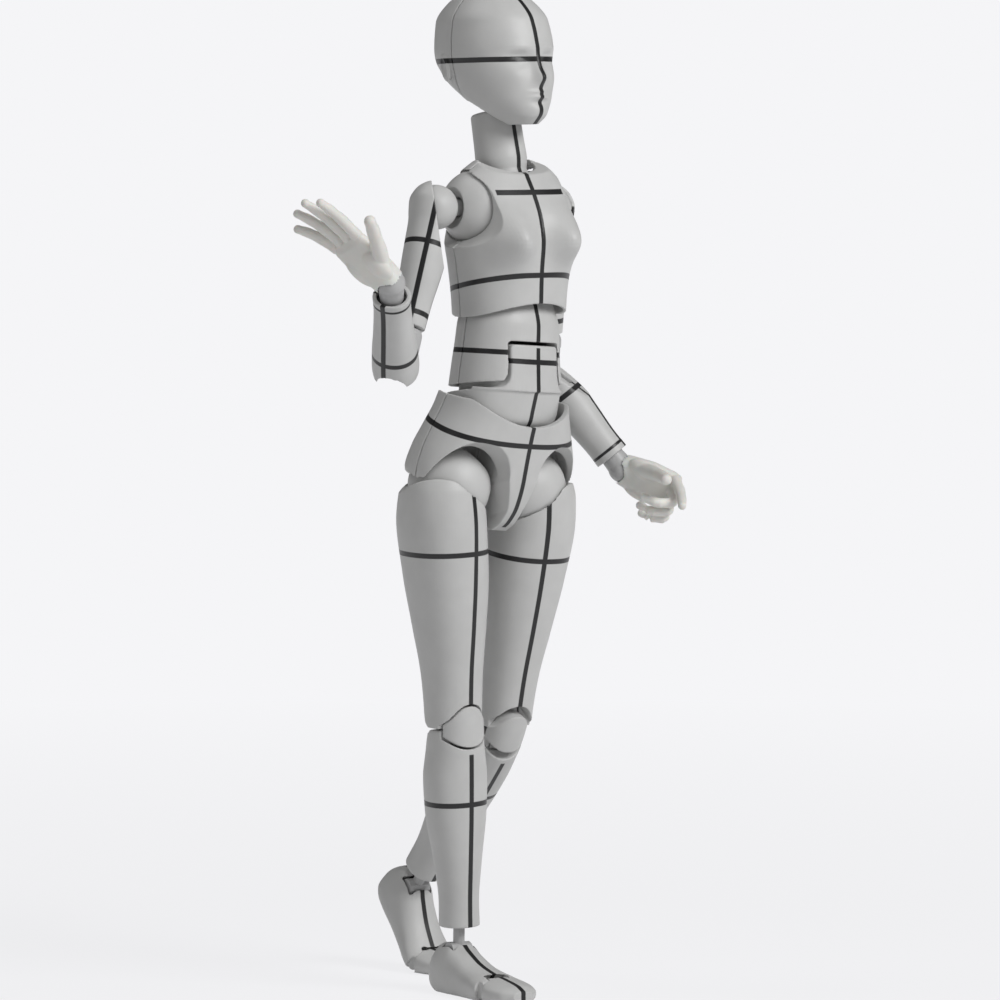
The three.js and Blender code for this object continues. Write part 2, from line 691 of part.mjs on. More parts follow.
// Thigh: cupped over the insert, its rim high outside and falling towards the crotch, forked at the knee.
const thighForm = [
  [0, 0.627, 0.6, 0.55, 0.3], [0.08, 0.635, 0.61, 0.56, 0.3], [0.2, 0.67, 0.65, 0.6, 0.35],
  [0.4, 0.8, 0.79, 0.74, 0.6], [0.6, 0.92, 0.91, 0.87, 0.95], [0.8, 0.965, 0.975, 0.92, 1.45],
  [0.93, 0.95, 0.9, 0.77, 1.5], [1, 0.9, 0.76, 0.58, 1.4],
];

function thighPiece() {
  const [x, y, z] = hipAt();
  const outer = body(shaped(thighForm, kneeMiddleZ, z + 2, thighWidth, thighFront, thighBack, x, y),
    { sides: 16, steps: 1, squareness: 2.2 });
  const rim = beyond([0, y - thighFront, z + thighRimRise], tippedBack(thighRimTilt));
  const inside = beyond([x - 1.5, 0, z + 1.2], [-0.91, 0, 0.42]);
  return outer.subtract(rim).subtract(inside)
    .subtract(ball([x, y, z], hipInsertRadius + runningGap, 2))
    .subtract(rod([x, y, z], [x, y, z - insertPegEnd - runningGap], insertPegRadius + pinGap))
    .subtract(kneeRoom(kneeHighZ, 1));
}

// What the thigh and the shin leave free for the knee: the bend, the plate's slot, the cap and the pin.
function kneeRoom(pinZ, up) {
  const [x, z] = [hipSpread, pinZ];
  const reach = kneePinSpacing / 2 - runningGap / 2;
  const half = kneePlate / 2 + runningGap;
  const over = z + up * (kneeReach + runningGap);
  let room = block([x - half, -far / 2, Math.min(z, z - up * far)], [x + half, far / 2, Math.max(z, z - up * far)])
    .add(block([x - half, kneeY, Math.min(z, over)], [x + half, far / 2, Math.max(z, over)]))
    .add(rod([x - half, kneeY, z], [x + half, kneeY, z], kneeReach + runningGap, 14));
  for (const angle of [0, bendLimit / 2, bendLimit]) {
    const turn = THREE.MathUtils.degToRad(angle);
    const normal = [0, Math.sin(turn), -up * Math.cos(turn)];
    room = room.add(beyond([0, kneeY + reach * normal[1], z + reach * normal[2]], normal));
  }
  const underCap = block([x - kneeWidth, kneeY - far / 2, Math.min(z, z - up * far)],
    [x + kneeWidth, kneeY, Math.max(z, z - up * far)])
    .subtract(rod([x - kneeWidth, kneeY, z], [x + kneeWidth, kneeY, z], kneeCapInner - runningGap, 24));
  const pinHalf = kneeWidth / 2 - kneePinInset;
  return room.add(underCap).add(kneeCapOutline(runningGap))
    .add(rod([x - pinHalf, kneeY, z], [x + pinHalf, kneeY, z], kneePinRadius + pinGap));
}

// The cap's almond outline, pushed through the front of the knee.
function kneeCapOutline(extra) {
  const shape = new THREE.Shape();
  const [wide, tall] = [kneeCapWidth / 2 + extra * 1.6, kneeCapHeight / 2 + extra];
  shape.moveTo(-wide, 0);
  shape.bezierCurveTo(-wide * 0.55, tall * 0.3, -wide * 0.5, tall, 0, tall);
  shape.bezierCurveTo(wide * 0.5, tall, wide * 0.55, tall * 0.3, wide, 0);
  shape.bezierCurveTo(wide * 0.55, -tall * 0.3, wide * 0.5, -tall, 0, -tall);
  shape.bezierCurveTo(-wide * 0.5, -tall, -wide * 0.55, -tall * 0.3, -wide, 0);
  const inner = kneeCapInner - extra;
  const geometry = new THREE.ExtrudeGeometry(shape, { depth: far, bevelEnabled: false, curveSegments: 4 });
  return solidOf(geometry.rotateX(Math.PI / 2).translate(hipSpread, kneeY - inner, kneeMiddleZ));
}

function kneeLink() {
  const x = hipSpread;
  const half = kneePlate / 2;
  const form = body([
    [kneeLowZ - 2, kneeWidth / 2 - 0.2, kneeDepth - 0.3, 2, x, kneeY],
    [kneeMiddleZ, kneeWidth / 2 - 0.1, kneeDepth, 2, x, kneeY],
    [kneeHighZ + 2, kneeWidth / 2 - 0.2, kneeDepth - 0.2, 2, x, kneeY],
  ], { sides: 14, steps: 1, squareness: 2.2 });
  const cap = form.intersect(kneeCapOutline(0));
  let link = cap.add(block([x - half, kneeY - kneeCapInner - 0.4, kneeLowZ],
    [x + half, kneeY + kneeReach, kneeHighZ]));
  for (const z of [kneeLowZ, kneeHighZ]) {
    link = link.add(rod([x - half, kneeY, z], [x + half, kneeY, z], kneeReach, 12));
  }
  for (const z of [kneeLowZ, kneeHighZ]) {
    link = link.subtract(rod([x - half - 1, kneeY, z], [x + half + 1, kneeY, z], kneePinRadius + pinGap));
  }
  return link;
}

function kneePin(z) {
  const half = kneeWidth / 2 - kneePinInset - pinGap;
  return rod([hipSpread - half, kneeY, z], [hipSpread + half, kneeY, z], kneePinRadius);
}

// Shin: calf full behind, hollowed at its foot for the ankle's ball.
const shinForm = [
  [0, 0.64, 0.68, 0.6], [0.12, 0.62, 0.7, 0.6], [0.33, 0.75, 0.8, 0.74], [0.58, 0.96, 0.92, 0.98],
  [0.74, 1, 0.97, 1], [0.9, 0.9, 1, 0.87], [1, 0.87, 1, 0.8],
];

function shinPiece() {
  const x = hipSpread;
  const bottom = ankleHeight + shinBottomRise;
  const ballZ = ankleHeight + ankleBallRise;
  return body(shaped(shinForm, bottom, kneeMiddleZ, calfWidth, shinFront, shinBack, x, kneeY),
    { sides: 16, steps: 1, squareness: 2.15 })
    .subtract(kneeRoom(kneeLowZ, -1))
    .subtract(ball([x, kneeY, ballZ], ankleBallRadius + runningGap))
    .subtract(rod([x, kneeY, bottom - 1], [x, kneeY, ballZ - 0.6], ankleStemRadius + 0.6, 8));
}

function ankleJoint() {
  const x = hipSpread;
  return ball([x, kneeY, ankleHeight + ankleBallRise], ankleBallRadius)
    .add(rod([x, kneeY, ankleHeight + ankleBallRise], [x, kneeY, ankleHeight], ankleStemRadius, 10))
    .add(rod([x - ankleBarrelHalf, kneeY, ankleHeight], [x + ankleBarrelHalf, kneeY, ankleHeight],
      ankleBarrelRadius, 10));
}

// Foot and toe share one long form, laid from the heel forwards and cut flat under the sole.
const footForm = [
  [0, 0.4, 1.4, 2, 0, 2.2], [0.04, 0.66, 2.2, 3.6, 0, 2], [0.13, 0.8, 2.6, 4.9, 0, 1.9],
  [0.24, 0.84, 2.6, 5.1, 0, 1.9], [0.34, 0.83, 2.5, 4, 0, 1.8], [0.5, 0.88, 2.3, 2.6, 0, 1.6],
  [0.66, 1, 2, 1.85, 0, 1.5], [0.8, 0.99, 1.8, 1.5, 0, 1.4],
  [0.93, 0.8, 1.5, 1.1, 0, 1.3], [1, 0.4, 1, 0.6, 0, 1.2],
];

function footWhole() {
  const sections = footForm.map(([along, wide, down, up, x0, height]) => [
    along * footLength, (footWidth / 2) * wide, down, up, hipSpread + x0, height,
  ]);
  const geometry = loft(sections, { sides: 14, steps: 1, squareness: 2.4 });
  geometry.rotateX(Math.PI / 2).translate(0, heelBehindAnkle, 0);
  return solidOf(geometry).subtract(beyond([0, 0, 0], [0, 0, -1]));
}

function toeHingeAt() {
  return [hipSpread, heelBehindAnkle - (footLength - toeLength), toeHingeZ];
}

function footPiece() {
  const [x, y, z] = toeHingeAt();
  const lugEnd = y - lugRadius;
  const front = beyond([0, y, 0], [0, -1, 0]).subtract(rod([x - 3, y, z], [x + 3, y, z], lugRadius, 12));
  const tongueRoom = block([x - tongueHalf - pinGap, lugEnd - 1, -1], [x + tongueHalf + pinGap, y, toeHeight + 2])
    .add(rod([x - tongueHalf - pinGap, y, z], [x + tongueHalf + pinGap, y, z], toeHingeZ + 0.2, 12));
  const slotHalf = ankleStemRadius + 0.4;
  const slotReach = 2.6;
  const stemSlot = block([x - slotHalf, kneeY - slotReach, ankleHeight + 0.9],
    [x + slotHalf, kneeY + slotReach, ankleHeight + 4]);
  const half = ankleBarrelHalf + pinGap;
  return footWhole().subtract(front).subtract(tongueRoom)
    .subtract(rod([x - half, kneeY, ankleHeight], [x + half, kneeY, ankleHeight],
      ankleBarrelRadius + runningGap, 12))
    .subtract(stemSlot)
    .subtract(rod([x - footWidth * 0.36, y, z], [x + footWidth * 0.36, y, z], toePinRadius + pinGap, 10));
}

function toePiece() {
  const [x, y, z] = toeHingeAt();
  const lugRoom = beyond([0, y, 0], [0, 1, 0])
    .add(rod([x - 5, y, z], [x + 5, y, z], lugRadius + runningGap, 12));
  const tongueSpace = block([x - tongueHalf, y - 2, 0], [x + tongueHalf, y + lugRadius + 1, toeHeight]);
  const tongue = rod([x - tongueHalf, y, z], [x + tongueHalf, y, z], lugRadius, 12)
    .add(block([x - tongueHalf, y - lugRadius - 1, z - 0.9], [x + tongueHalf, y, z + 0.9]));
  return footWhole().subtract(lugRoom.subtract(tongueSpace)).subtract(lugRoom).add(tongue)
    .subtract(rod([x - 3, y, z], [x + 3, y, z], toePinRadius + pinGap, 10));
}

function toePin() {
  const [x, y, z] = toeHingeAt();
  const half = footWidth * 0.36 - pinGap;
  return rod([x - half, y, z], [x + half, y, z], toePinRadius, 10);
}

// Shoulder: an upright pivot in the chest, the rounded insert whose eye it holds, and the ball of the arm.
function shoulderPivot() {
  const [x, y, z] = shoulderPivotAt();
  const slot = eyePlate / 2 + pinGap;
  return rod([x, y, z - pivotHeight / 2], [x, y, z + pivotHeight / 2], pivotRadius, 10)
    .subtract(block([x - eyeRadius - pinGap, y - slot, z - eyeRadius - pinGap * 2],
      [x + pivotRadius + 1, y + slot, z + eyeRadius + pinGap * 2]));
}

function shoulderInsert() {
  const [x, y, z] = shoulderPivotAt();
  const front = THREE.MathUtils.degToRad(insertFrontEdge);
  const back = THREE.MathUtils.degToRad(insertBackEdge);
  const half = eyePlate / 2;
  const eye = rod([x, y - half, z], [x, y + half, z], eyeRadius, 10)
    .add(block([x, y - half, z - eyeRadius], [x + pivotRadius + 1, y + half, z + eyeRadius]));
  return ball([x, y, z], shoulderInsertRadius, 2)
    .subtract(beyond([x, y, z], [-Math.sin(front), -Math.cos(front), 0]))
    .subtract(beyond([x, y, z], [-Math.sin(back), Math.cos(back), 0]))
    .subtract(rod([x, y, z - far / 2], [x, y, z + far / 2], pivotRadius + runningGap, 10))
    .add(eye)
    .subtract(ball(shoulderJointAt(), shoulderDomeRadius + runningGap, 2))
    .subtract(rod([shoulderPegEnd() - pinGap, y, z], [far, y, z], shoulderPegRadius + pinGap));
}

function shoulderPegEnd() {
  return shoulderPivotSpread + pivotRadius + runningGap + 0.7;
}

function shoulderSwivel() {
  const [x, y, z] = shoulderJointAt();
  return ball([x, y, z], shoulderBallRadius, 2).add(rod([shoulderPegEnd(), y, z], [x, y, z], shoulderPegRadius));
}

const upperArmForm = [
  [0, 0.75, 0.75, 0.75], [0.25, 0.8, 0.82, 0.82], [0.55, 0.93, 0.97, 0.97], [0.8, 1, 1.03, 1.03],
  [1, 1.05, 1.06, 1.06],
];

function upperArmPiece() {
  const [x, y, z] = shoulderJointAt();
  const rimZ = elbowHighZ + armRimAboveElbow;
  const tilt = THREE.MathUtils.degToRad(armCutTilt);
  const normal = [-Math.cos(tilt), 0, Math.sin(tilt)];
  const arm = shaped(upperArmForm, rimZ, z - shoulderDomeRadius * 0.75, upperArmWidth, upperArmWidth / 2,
    upperArmWidth / 2, x, y);
  for (const degrees of [-20, 5, 30, 55, 75]) {
    const angle = THREE.MathUtils.degToRad(degrees);
    const radius = shoulderDomeRadius * Math.cos(angle);
    arm.push([z + shoulderDomeRadius * Math.sin(angle), radius, radius, radius, x, y]);
  }
  return body(arm, { sides: 16, steps: 1, squareness: 2.05 })
    .subtract(beyond([x + 0.5 * normal[0], y, z + 0.5 * normal[2]], normal))
    .subtract(ball([x, y, z], shoulderBallRadius + runningGap, 2))
    .subtract(rod([x, y, rimZ - 1], [x, y, rimZ + swivelPegLength + runningGap], swivelPegRadius + pinGap));
}

// What the two sides of the elbow leave free: the bend in front, the plate's slot, the cap and the pin.
function elbowRoom(pinZ, up) {
  const [x, y] = shoulderJointAt();
  const reach = elbowPinSpacing / 2 - runningGap / 2;
  const half = elbowPlate / 2 + runningGap;
  const over = pinZ + up * (elbowReach + runningGap);
  let room = block([x - half, -far / 2, Math.min(pinZ, pinZ - up * far)],
    [x + half, far / 2, Math.max(pinZ, pinZ - up * far)])
    .add(block([x - half, -far / 2, Math.min(pinZ, over)], [x + half, y, Math.max(pinZ, over)]))
    .add(rod([x - half, y, pinZ], [x + half, y, pinZ], elbowReach + runningGap, 12));
  for (const angle of [0, elbowBend / 2, elbowBend]) {
    const turn = THREE.MathUtils.degToRad(angle);
    const normal = [0, -Math.sin(turn), -up * Math.cos(turn)];
    room = room.add(beyond([0, y + reach * normal[1], pinZ + reach * normal[2]], normal));
  }
  const underCap = block([x - elbowWidth, y, Math.min(pinZ, pinZ - up * far)],
    [x + elbowWidth, y + far / 2, Math.max(pinZ, pinZ - up * far)])
    .subtract(rod([x - elbowWidth, y, pinZ], [x + elbowWidth, y, pinZ], elbowCapInner - runningGap, 20));
  const pinHalf = elbowWidth / 2 - elbowPinInset;
  return room.add(underCap).add(elbowCapOutline(runningGap))
    .add(rod([x - pinHalf, y, pinZ], [x + pinHalf, y, pinZ], elbowPinRadius + pinGap, 10));
}

function elbowCapOutline(extra) {
  const [x, y] = shoulderJointAt();
  const shape = new THREE.Shape();
  shape.absellipse(x, elbowMiddleZ, elbowCapWidth / 2 + extra, elbowCapHeight / 2 + extra, 0, 2 * Math.PI, false);
  return pushedThrough(shape, y + elbowCapInner - extra, far / 2, 5);
}

function elbowSwivel() {
  const [x, y] = shoulderJointAt();
  const topZ = elbowHighZ + armRimAboveElbow - runningGap;
  const half = elbowWidth / 2;
  return body([
    [elbowMiddleZ, half, half, half, x, y], [elbowHighZ, half, half, half, x, y],
    [topZ - 0.7, half, half, half, x, y], [topZ, half - 0.25, half - 0.25, half - 0.25, x, y],
  ], { sides: 16, steps: 1, squareness: 2 })
    .subtract(elbowRoom(elbowHighZ, 1))
    .add(rod([x, y, topZ - 0.6], [x, y, topZ + swivelPegLength], swivelPegRadius, 8));
}

function elbowLink() {
  const [x, y] = shoulderJointAt();
  const half = elbowPlate / 2;
  const form = body([
    [elbowLowZ - 1.6, elbowWidth / 2 - 0.2, 1, elbowWidth / 2 + 0.1, x, y],
    [elbowMiddleZ, elbowWidth / 2, 1, elbowWidth / 2 + 0.5, x, y],
    [elbowHighZ + 1.6, elbowWidth / 2 - 0.2, 1, elbowWidth / 2 + 0.1, x, y],
  ], { sides: 16, steps: 1, squareness: 2 });
  let link = form.intersect(elbowCapOutline(0))
    .add(block([x - half, y - elbowReach, elbowLowZ], [x + half, y + elbowCapInner + 0.3, elbowHighZ]));
  for (const z of [elbowLowZ, elbowHighZ]) link = link.add(rod([x - half, y, z], [x + half, y, z], elbowReach, 10));
  for (const z of [elbowLowZ, elbowHighZ]) {
    link = link.subtract(rod([x - half - 1, y, z], [x + half + 1, y, z], elbowPinRadius + pinGap, 10));
  }
  return link;
}

function elbowPin(z) {
  const [x, y] = shoulderJointAt();
  const half = elbowWidth / 2 - elbowPinInset - pinGap;
  return rod([x - half, y, z], [x + half, y, z], elbowPinRadius, 10);
}

const forearmForm = [
  [0, 0.75, 0.72, 0.72], [0.12, 0.74, 0.72, 0.72], [0.4, 0.84, 0.83, 0.83], [0.65, 0.97, 0.95, 0.97],
  [0.82, 1, 1, 1.02], [0.93, 0.92, 0.92, 0.98], [1, 0.74, 0.72, 0.85],
];

function forearmPiece() {
  const [x, y] = shoulderJointAt();
  const rimZ = wristZ + forearmRimAboveWrist;
  return body(shaped(forearmForm, rimZ, elbowMiddleZ + 0.6, forearmWidth, forearmWidth / 2, forearmWidth / 2, x, y),
    { sides: 12, steps: 1, squareness: 2.15 })
    .subtract(elbowRoom(elbowLowZ, -1))
    .subtract(rod([x, y, rimZ - 1], [x, y, rimZ + 1], wristPegWidth / 2 + 0.45, 10))
    .subtract(rod([x, y, rimZ], [x, y, rimZ + wristPegLength + runningGap], wristPegRadius + pinGap));
}

function wristPeg() {
  const [x, y] = shoulderJointAt();
  const rimZ = wristZ + forearmRimAboveWrist;
  return ball([x, y, wristZ], wristBallRadius)
    .add(rod([x, y, wristZ + 1.5], [x, y, rimZ + 0.7], wristPegWidth / 2 - 0.25, 12, wristPegWidth / 2))
    .add(rod([x, y, wristZ], [x, y, rimZ + wristPegLength], wristPegRadius));
}

// A tapering tube of flat-sided rings round bent bones. Each place is [point, radius].
function bonedTube(places, sides) {
  const points = places.map(([point]) => point);
  const positions = [];
  points.forEach((point, k) => {
    const ahead = (points[k + 1] ?? point).clone().sub(points[k - 1] ?? point).normalize();
    const turn = new THREE.Quaternion().setFromUnitVectors(new THREE.Vector3(0, 0, -1), ahead);
    for (let side = 0; side < sides; side += 1) {
      const angle = (-2 * Math.PI * (side + 0.5)) / sides;
      const spoke = new THREE.Vector3(Math.cos(angle), Math.sin(angle), 0).applyQuaternion(turn);
      positions.push(...spoke.multiplyScalar(places[k][1]).add(point).toArray());
    }
  });
  return solidOf(skin(positions, places.length, sides));
}

// A finger from its knuckle: curls bend it bone by bone towards the palm, spread towards the thumb.
function finger(knuckle, lengths, width, curls, spread) {
  const place = new THREE.Vector3(...knuckle);
  const places = [[place.clone(), width / 2]];
  let curl = 0;
  lengths.forEach((length, k) => {
    curl += curls[k];
    const [c, s] = [THREE.MathUtils.degToRad(curl), THREE.MathUtils.degToRad(spread)];
    place.add(new THREE.Vector3(-Math.sin(c) * Math.cos(s), -Math.sin(s), -Math.cos(c) * Math.cos(s))
      .multiplyScalar(length));
    places.push([place.clone(), (width / 2) * (0.94 - 0.17 * k)]);
  });
  return bonedTube(places, 6);
}

const fingerRoots = [-2.05, -0.65, 0.75, 2.05];
const fingerReach = [0.96, 1.05, 0.98, 0.8];

function handPiece(curls, spreads, thumb) {
  const [x, y] = shoulderJointAt();
  const palmLength = handLength * 0.5;
  const boneLength = handLength * 0.5;
  const knuckleZ = wristZ - palmLength;
  const [half, thick] = [palmWidth / 2, palmThickness / 2];
  let hand = body([
    [knuckleZ, thick * 0.62, half * 0.98, half * 0.96, x, y], [knuckleZ + 1, thick * 0.92, half, half, x, y],
    [wristZ - palmLength * 0.5, thick, half * 0.93, half * 0.95, x - 0.1, y],
    [wristZ - palmLength * 0.2, 1.35, half * 0.68, half * 0.68, x, y],
    [wristZ + 0.15, 1.6, half * 0.62, half * 0.62, x, y],
  ], { sides: 10, steps: 1, squareness: 2.3 });
  fingerRoots.forEach((root, k) => {
    const reach = boneLength * fingerReach[k];
    hand = hand.add(finger([x, y + root, knuckleZ + 0.7], [reach * 0.5, reach * 0.32, reach * 0.3], fingerWidth,
      curls[k], spreads[k]));
  });
  hand = hand.add(finger([x - 0.2, y - half * 0.5, wristZ - palmLength * 0.3], [3.8, 2.9, 2.5],
    fingerWidth * 1.35, thumb, thumbAngle));
  return hand.subtract(ball([x, y, wristZ], wristBallRadius + runningGap))
    .subtract(rod([x, y, wristZ - 0.45], [x, y, wristZ + 0.45], 1, 12, 2.1));
}

// Limits of the joints and their angles in the photographed pose: [lowest, highest, pose].
const torsoJoints = {
  waist_twist: [-8, 8, 4], waist_bend: [-8, 8, -6.5], abdomen_bend: [-7, 3, -1], chest_tilt: [-7, 7, -4],
  chest_twist: [-7, 7, -5], neck_turn: [-30, 30, 4.5], neck_bend: [-15, 15, -12], head_turn: [-60, 60, 0],
  head_nod: [-15, 15, 10],
};
const armJoints = {
  right: {
    shoulder_swing: [-5, 25, 3], shoulder_shrug: [-3, 7, 1.5], arm_swing: [-40, 120, 8.5], arm_raise: [10, 80, 19],
    arm_twist: [-40, 90, 44.5], elbow_upper: [0, 72, 46.5], elbow_lower: [0, 72, 71],
    wrist_twist: [-120, 60, -98.5], wrist_tilt: [-50, 50, -48],
  },
  left: {
    shoulder_swing: [-5, 30, 28.5], shoulder_shrug: [-3, 7, -2.5], arm_swing: [-15, 120, -4], arm_raise: [9, 80, 9],
    arm_twist: [-25, 90, 11.5], elbow_upper: [0, 72, 20.5], elbow_lower: [0, 72, 20.5], wrist_twist: [-60, 60, -18],
    wrist_tilt: [-50, 50, -30],
  },
};
const legJoints = {
  right: {
    hip_swing: [0, 50, 6], hip_spread: [-8, 30, -7.5], thigh_twist: [-10, 10, 5.5], knee_upper: [0, 60, 0],
    knee_lower: [0, 60, 0], ankle_roll: [-10, 10, -2.5], ankle_pitch: [-28, 28, -1.5], toe_bend: [0, 55, 0],
  },
  left: {
    hip_swing: [-50, 5, 1], hip_spread: [0, 30, 4], thigh_twist: [-10, 10, -2.5], knee_upper: [0, 60, 16],
    knee_lower: [0, 60, 14.5], ankle_roll: [-10, 10, -2], ankle_pitch: [-28, 28, 9.5], toe_bend: [0, 55, 48],
  },
};

function jointed(parent, name, table, key, pivot, axis) {
  const [low, high, degrees] = table[key];
  return hinge(parent, name, pivot, axis, [low, high], degrees);
}

function addTorso(pelvis) {
  const [pelvisFrontHalf, pelvisBackHalf] = pelvisHalves();
  addPiece(pelvis, 'pelvis_front', pelvisFrontHalf, shellGrey);
  addPiece(pelvis, 'pelvis_back', pelvisBackHalf, shellGrey);
  const table = torsoJoints;
  const waist = [0, 0, waistZ];
  const middle = [0, 0, middleZ];
  const chestAt = [0, 0, chestZ];
  const neckAt = [0, neckY, neckZ];
  const headAt = [0, headJointBack, headZ];

  const waistJoint = jointed(pelvis, 'waist_twist', table, 'waist_twist', waist, UPRIGHT);
  addPiece(waistJoint, 'waist_joint', ballPeg(waist, torsoBallRadius, [0, 0, waistZ - waistPegLength],
    torsoPegRadius), jointGrey);
  const lower = jointed(waistJoint, 'waist_bend', table, 'waist_bend', waist, LATERAL);
  addPiece(lower, 'lower_abdomen', lowerAbdomenPiece(), shellGrey);

  const upper = jointed(lower, 'abdomen_bend', table, 'abdomen_bend', middle, LATERAL);
  const [upperFront, upperBack] = upperAbdomenHalves();
  addPiece(upper, 'upper_abdomen_front', upperFront, shellGrey);
  addPiece(upper, 'upper_abdomen_back', upperBack, shellGrey);
  addPiece(upper, 'middle_joint', ballPeg(middle, middleBallRadius, [0, 0, middleZ + middlePegLength],
    torsoPegRadius, torsoFlange), jointGrey);

  const chestJoint = jointed(upper, 'chest_tilt', table, 'chest_tilt', chestAt, FORE_AFT);
  addPiece(chestJoint, 'chest_joint', ballPeg(chestAt, torsoBallRadius, [0, 0, chestZ + chestPegLength],
    torsoPegRadius, torsoFlange), jointGrey);
  const chest = jointed(chestJoint, 'chest_twist', table, 'chest_twist', chestAt, UPRIGHT);
  const [chestFrontHalf, chestBackHalf] = chestHalves();
  addPiece(chest, 'chest_front', chestFrontHalf, shellGrey);
  addPiece(chest, 'chest_back', chestBackHalf, shellGrey);

  const neckBase = jointed(chest, 'neck_turn', table, 'neck_turn', neckAt, UPRIGHT);
  addPiece(neckBase, 'neck_base_joint', ballPeg(neckAt, neckBallRadius, [0, neckY, neckZ - neckPegLength],
    neckPegRadius), jointGrey);
  const neck = jointed(neckBase, 'neck_bend', table, 'neck_bend', neckAt, LATERAL);
  addPiece(neck, 'neck', neckPiece(), shellGrey);
  const headJoint = jointed(neck, 'head_turn', table, 'head_turn', headAt, UPRIGHT);
  addPiece(headJoint, 'head_joint', ballPeg(headAt, neckBallRadius, [0, neckY, headZ - headPegLength],
    neckPegRadius), jointGrey);
  const head = jointed(headJoint, 'head_nod', table, 'head_nod', headAt, LATERAL);
  const [headFront, headBack] = headHalves();
  addPiece(head, 'head_front', headFront, shellGrey);
  addPiece(head, 'head_back', headBack, shellGrey);
  return chest;
}

// Curls of index, middle, ring and little finger, their spreads and the thumb's curls.
const openHand = {
  curls: [[4, 8, 6], [2, 8, 6], [3, 9, 7], [6, 10, 8]],
  spreads: [9, 3, -3, -10],
  thumb: [4, 4, 4],
};
const relaxedHand = {
  curls: [[54, 6, 4], [58, 58, 34], [62, 64, 36], [66, 66, 36]],
  spreads: [4, 1, -2, -5],
  thumb: [26, 18, 10],
};

function addArm(chest, sideName) {
  const side = sideName === 'left' ? 1 : -1;
  const table = armJoints[sideName];
  const at = ([x, y, z]) => [side * x, y, z];
  const named = (name) => `${sideName}_${name}`;
  const joint = (parent, key, pivot, axis) => jointed(parent, named(key), table, key, at(pivot), axis);
  const add = (group, name, solid, color) => addPiece(group, named(name), solid, color, side);
  const pivotAt = shoulderPivotAt();
  const shoulder = shoulderJointAt();
  const [x, y] = shoulder;

  const pivot = joint(chest, 'shoulder_swing', pivotAt, [0, 0, side]);
  add(pivot, 'shoulder_pivot', shoulderPivot(), jointGrey);
  const insert = joint(pivot, 'shoulder_shrug', pivotAt, [0, -side, 0]);
  add(insert, 'shoulder_insert', shoulderInsert(), shellGrey);
  const swivel = joint(insert, 'arm_swing', shoulder, [-1, 0, 0]);
  add(swivel, 'shoulder_swivel', shoulderSwivel(), jointGrey);
  const upperArm = joint(swivel, 'arm_raise', shoulder, [0, -side, 0]);
  add(upperArm, 'upper_arm', upperArmPiece(), shellGrey);
  const elbowTop = joint(upperArm, 'arm_twist', [x, y, elbowHighZ], [0, 0, side]);
  add(elbowTop, 'elbow_swivel', elbowSwivel(), jointGrey);
  add(elbowTop, 'elbow_upper_pin', elbowPin(elbowHighZ), jointGrey);
  const link = joint(elbowTop, 'elbow_upper', [x, y, elbowHighZ], [-1, 0, 0]);
  add(link, 'elbow_link', elbowLink(), jointGrey);
  const forearm = joint(link, 'elbow_lower', [x, y, elbowLowZ], [-1, 0, 0]);
  add(forearm, 'forearm', forearmPiece(), shellGrey);
  add(forearm, 'elbow_lower_pin', elbowPin(elbowLowZ), jointGrey);
  const wrist = joint(forearm, 'wrist_twist', [x, y, wristZ], [0, 0, side]);
  add(wrist, 'wrist_peg', wristPeg(), jointGrey);
  const hand = joint(wrist, 'wrist_tilt', [x, y, wristZ], [side, 0, 0]);
  const shape = sideName === 'left' ? relaxedHand : openHand;
  add(hand, 'hand', handPiece(shape.curls, shape.spreads, shape.thumb), handGrey);
}

function addLeg(pelvis, sideName) {
  const side = sideName === 'left' ? 1 : -1;
  const table = legJoints[sideName];
  const at = ([x, y, z]) => [side * x, y, z];
  const named = (name) => `${sideName}_${name}`;
  const joint = (parent, key, pivot, axis) => jointed(parent, named(key), table, key, at(pivot), axis);
  const add = (group, name, solid, color) => addPiece(group, named(name), solid, color, side);
  const hip = hipAt();
  const kneeAt = (z) => [hipSpread, kneeY, z];

  const axle = joint(pelvis, 'hip_swing', hip, [side, 0, 0]);
  add(axle, 'hip_axle', hipAxle(), jointGrey);
  const insert = joint(axle, 'hip_spread', hip, [0, -side, 0]);
  add(insert, 'hip_insert', hipInsert(), jointGrey);
  const thigh = joint(insert, 'thigh_twist', hip, [0, 0, side]);
  add(thigh, 'thigh', thighPiece(), shellGrey);
  add(thigh, 'knee_upper_pin', kneePin(kneeHighZ), jointGrey);
  const link = joint(thigh, 'knee_upper', kneeAt(kneeHighZ), LATERAL);
  add(link, 'knee_link', kneeLink(), jointGrey);
  const shin = joint(link, 'knee_lower', kneeAt(kneeLowZ), LATERAL);
  add(shin, 'shin', shinPiece(), shellGrey);
  add(shin, 'knee_lower_pin', kneePin(kneeLowZ), jointGrey);
  const ankle = joint(shin, 'ankle_roll', kneeAt(ankleHeight + ankleBallRise), [0, side, 0]);
  add(ankle, 'ankle_joint', ankleJoint(), jointGrey);
  const foot = joint(ankle, 'ankle_pitch', kneeAt(ankleHeight), LATERAL);
  add(foot, 'foot', footPiece(), shellGrey);
  add(foot, 'toe_pin', toePin(), jointGrey);
  const toe = joint(foot, 'toe_bend', toeHingeAt(), [-1, 0, 0]);
  add(toe, 'toe', toePiece(), shellGrey);
  return { swing: axle, shin, roll: ankle, pitch: foot, bend: toe };
}

const figure = new THREE.Group();
const pelvis = new THREE.Group();
figure.add(pelvis);
const chest = addTorso(pelvis);
for (const sideName of ['right', 'left']) addArm(chest, sideName);
const rightLeg = addLeg(pelvis, 'right');
const leftLeg = addLeg(pelvis, 'left');

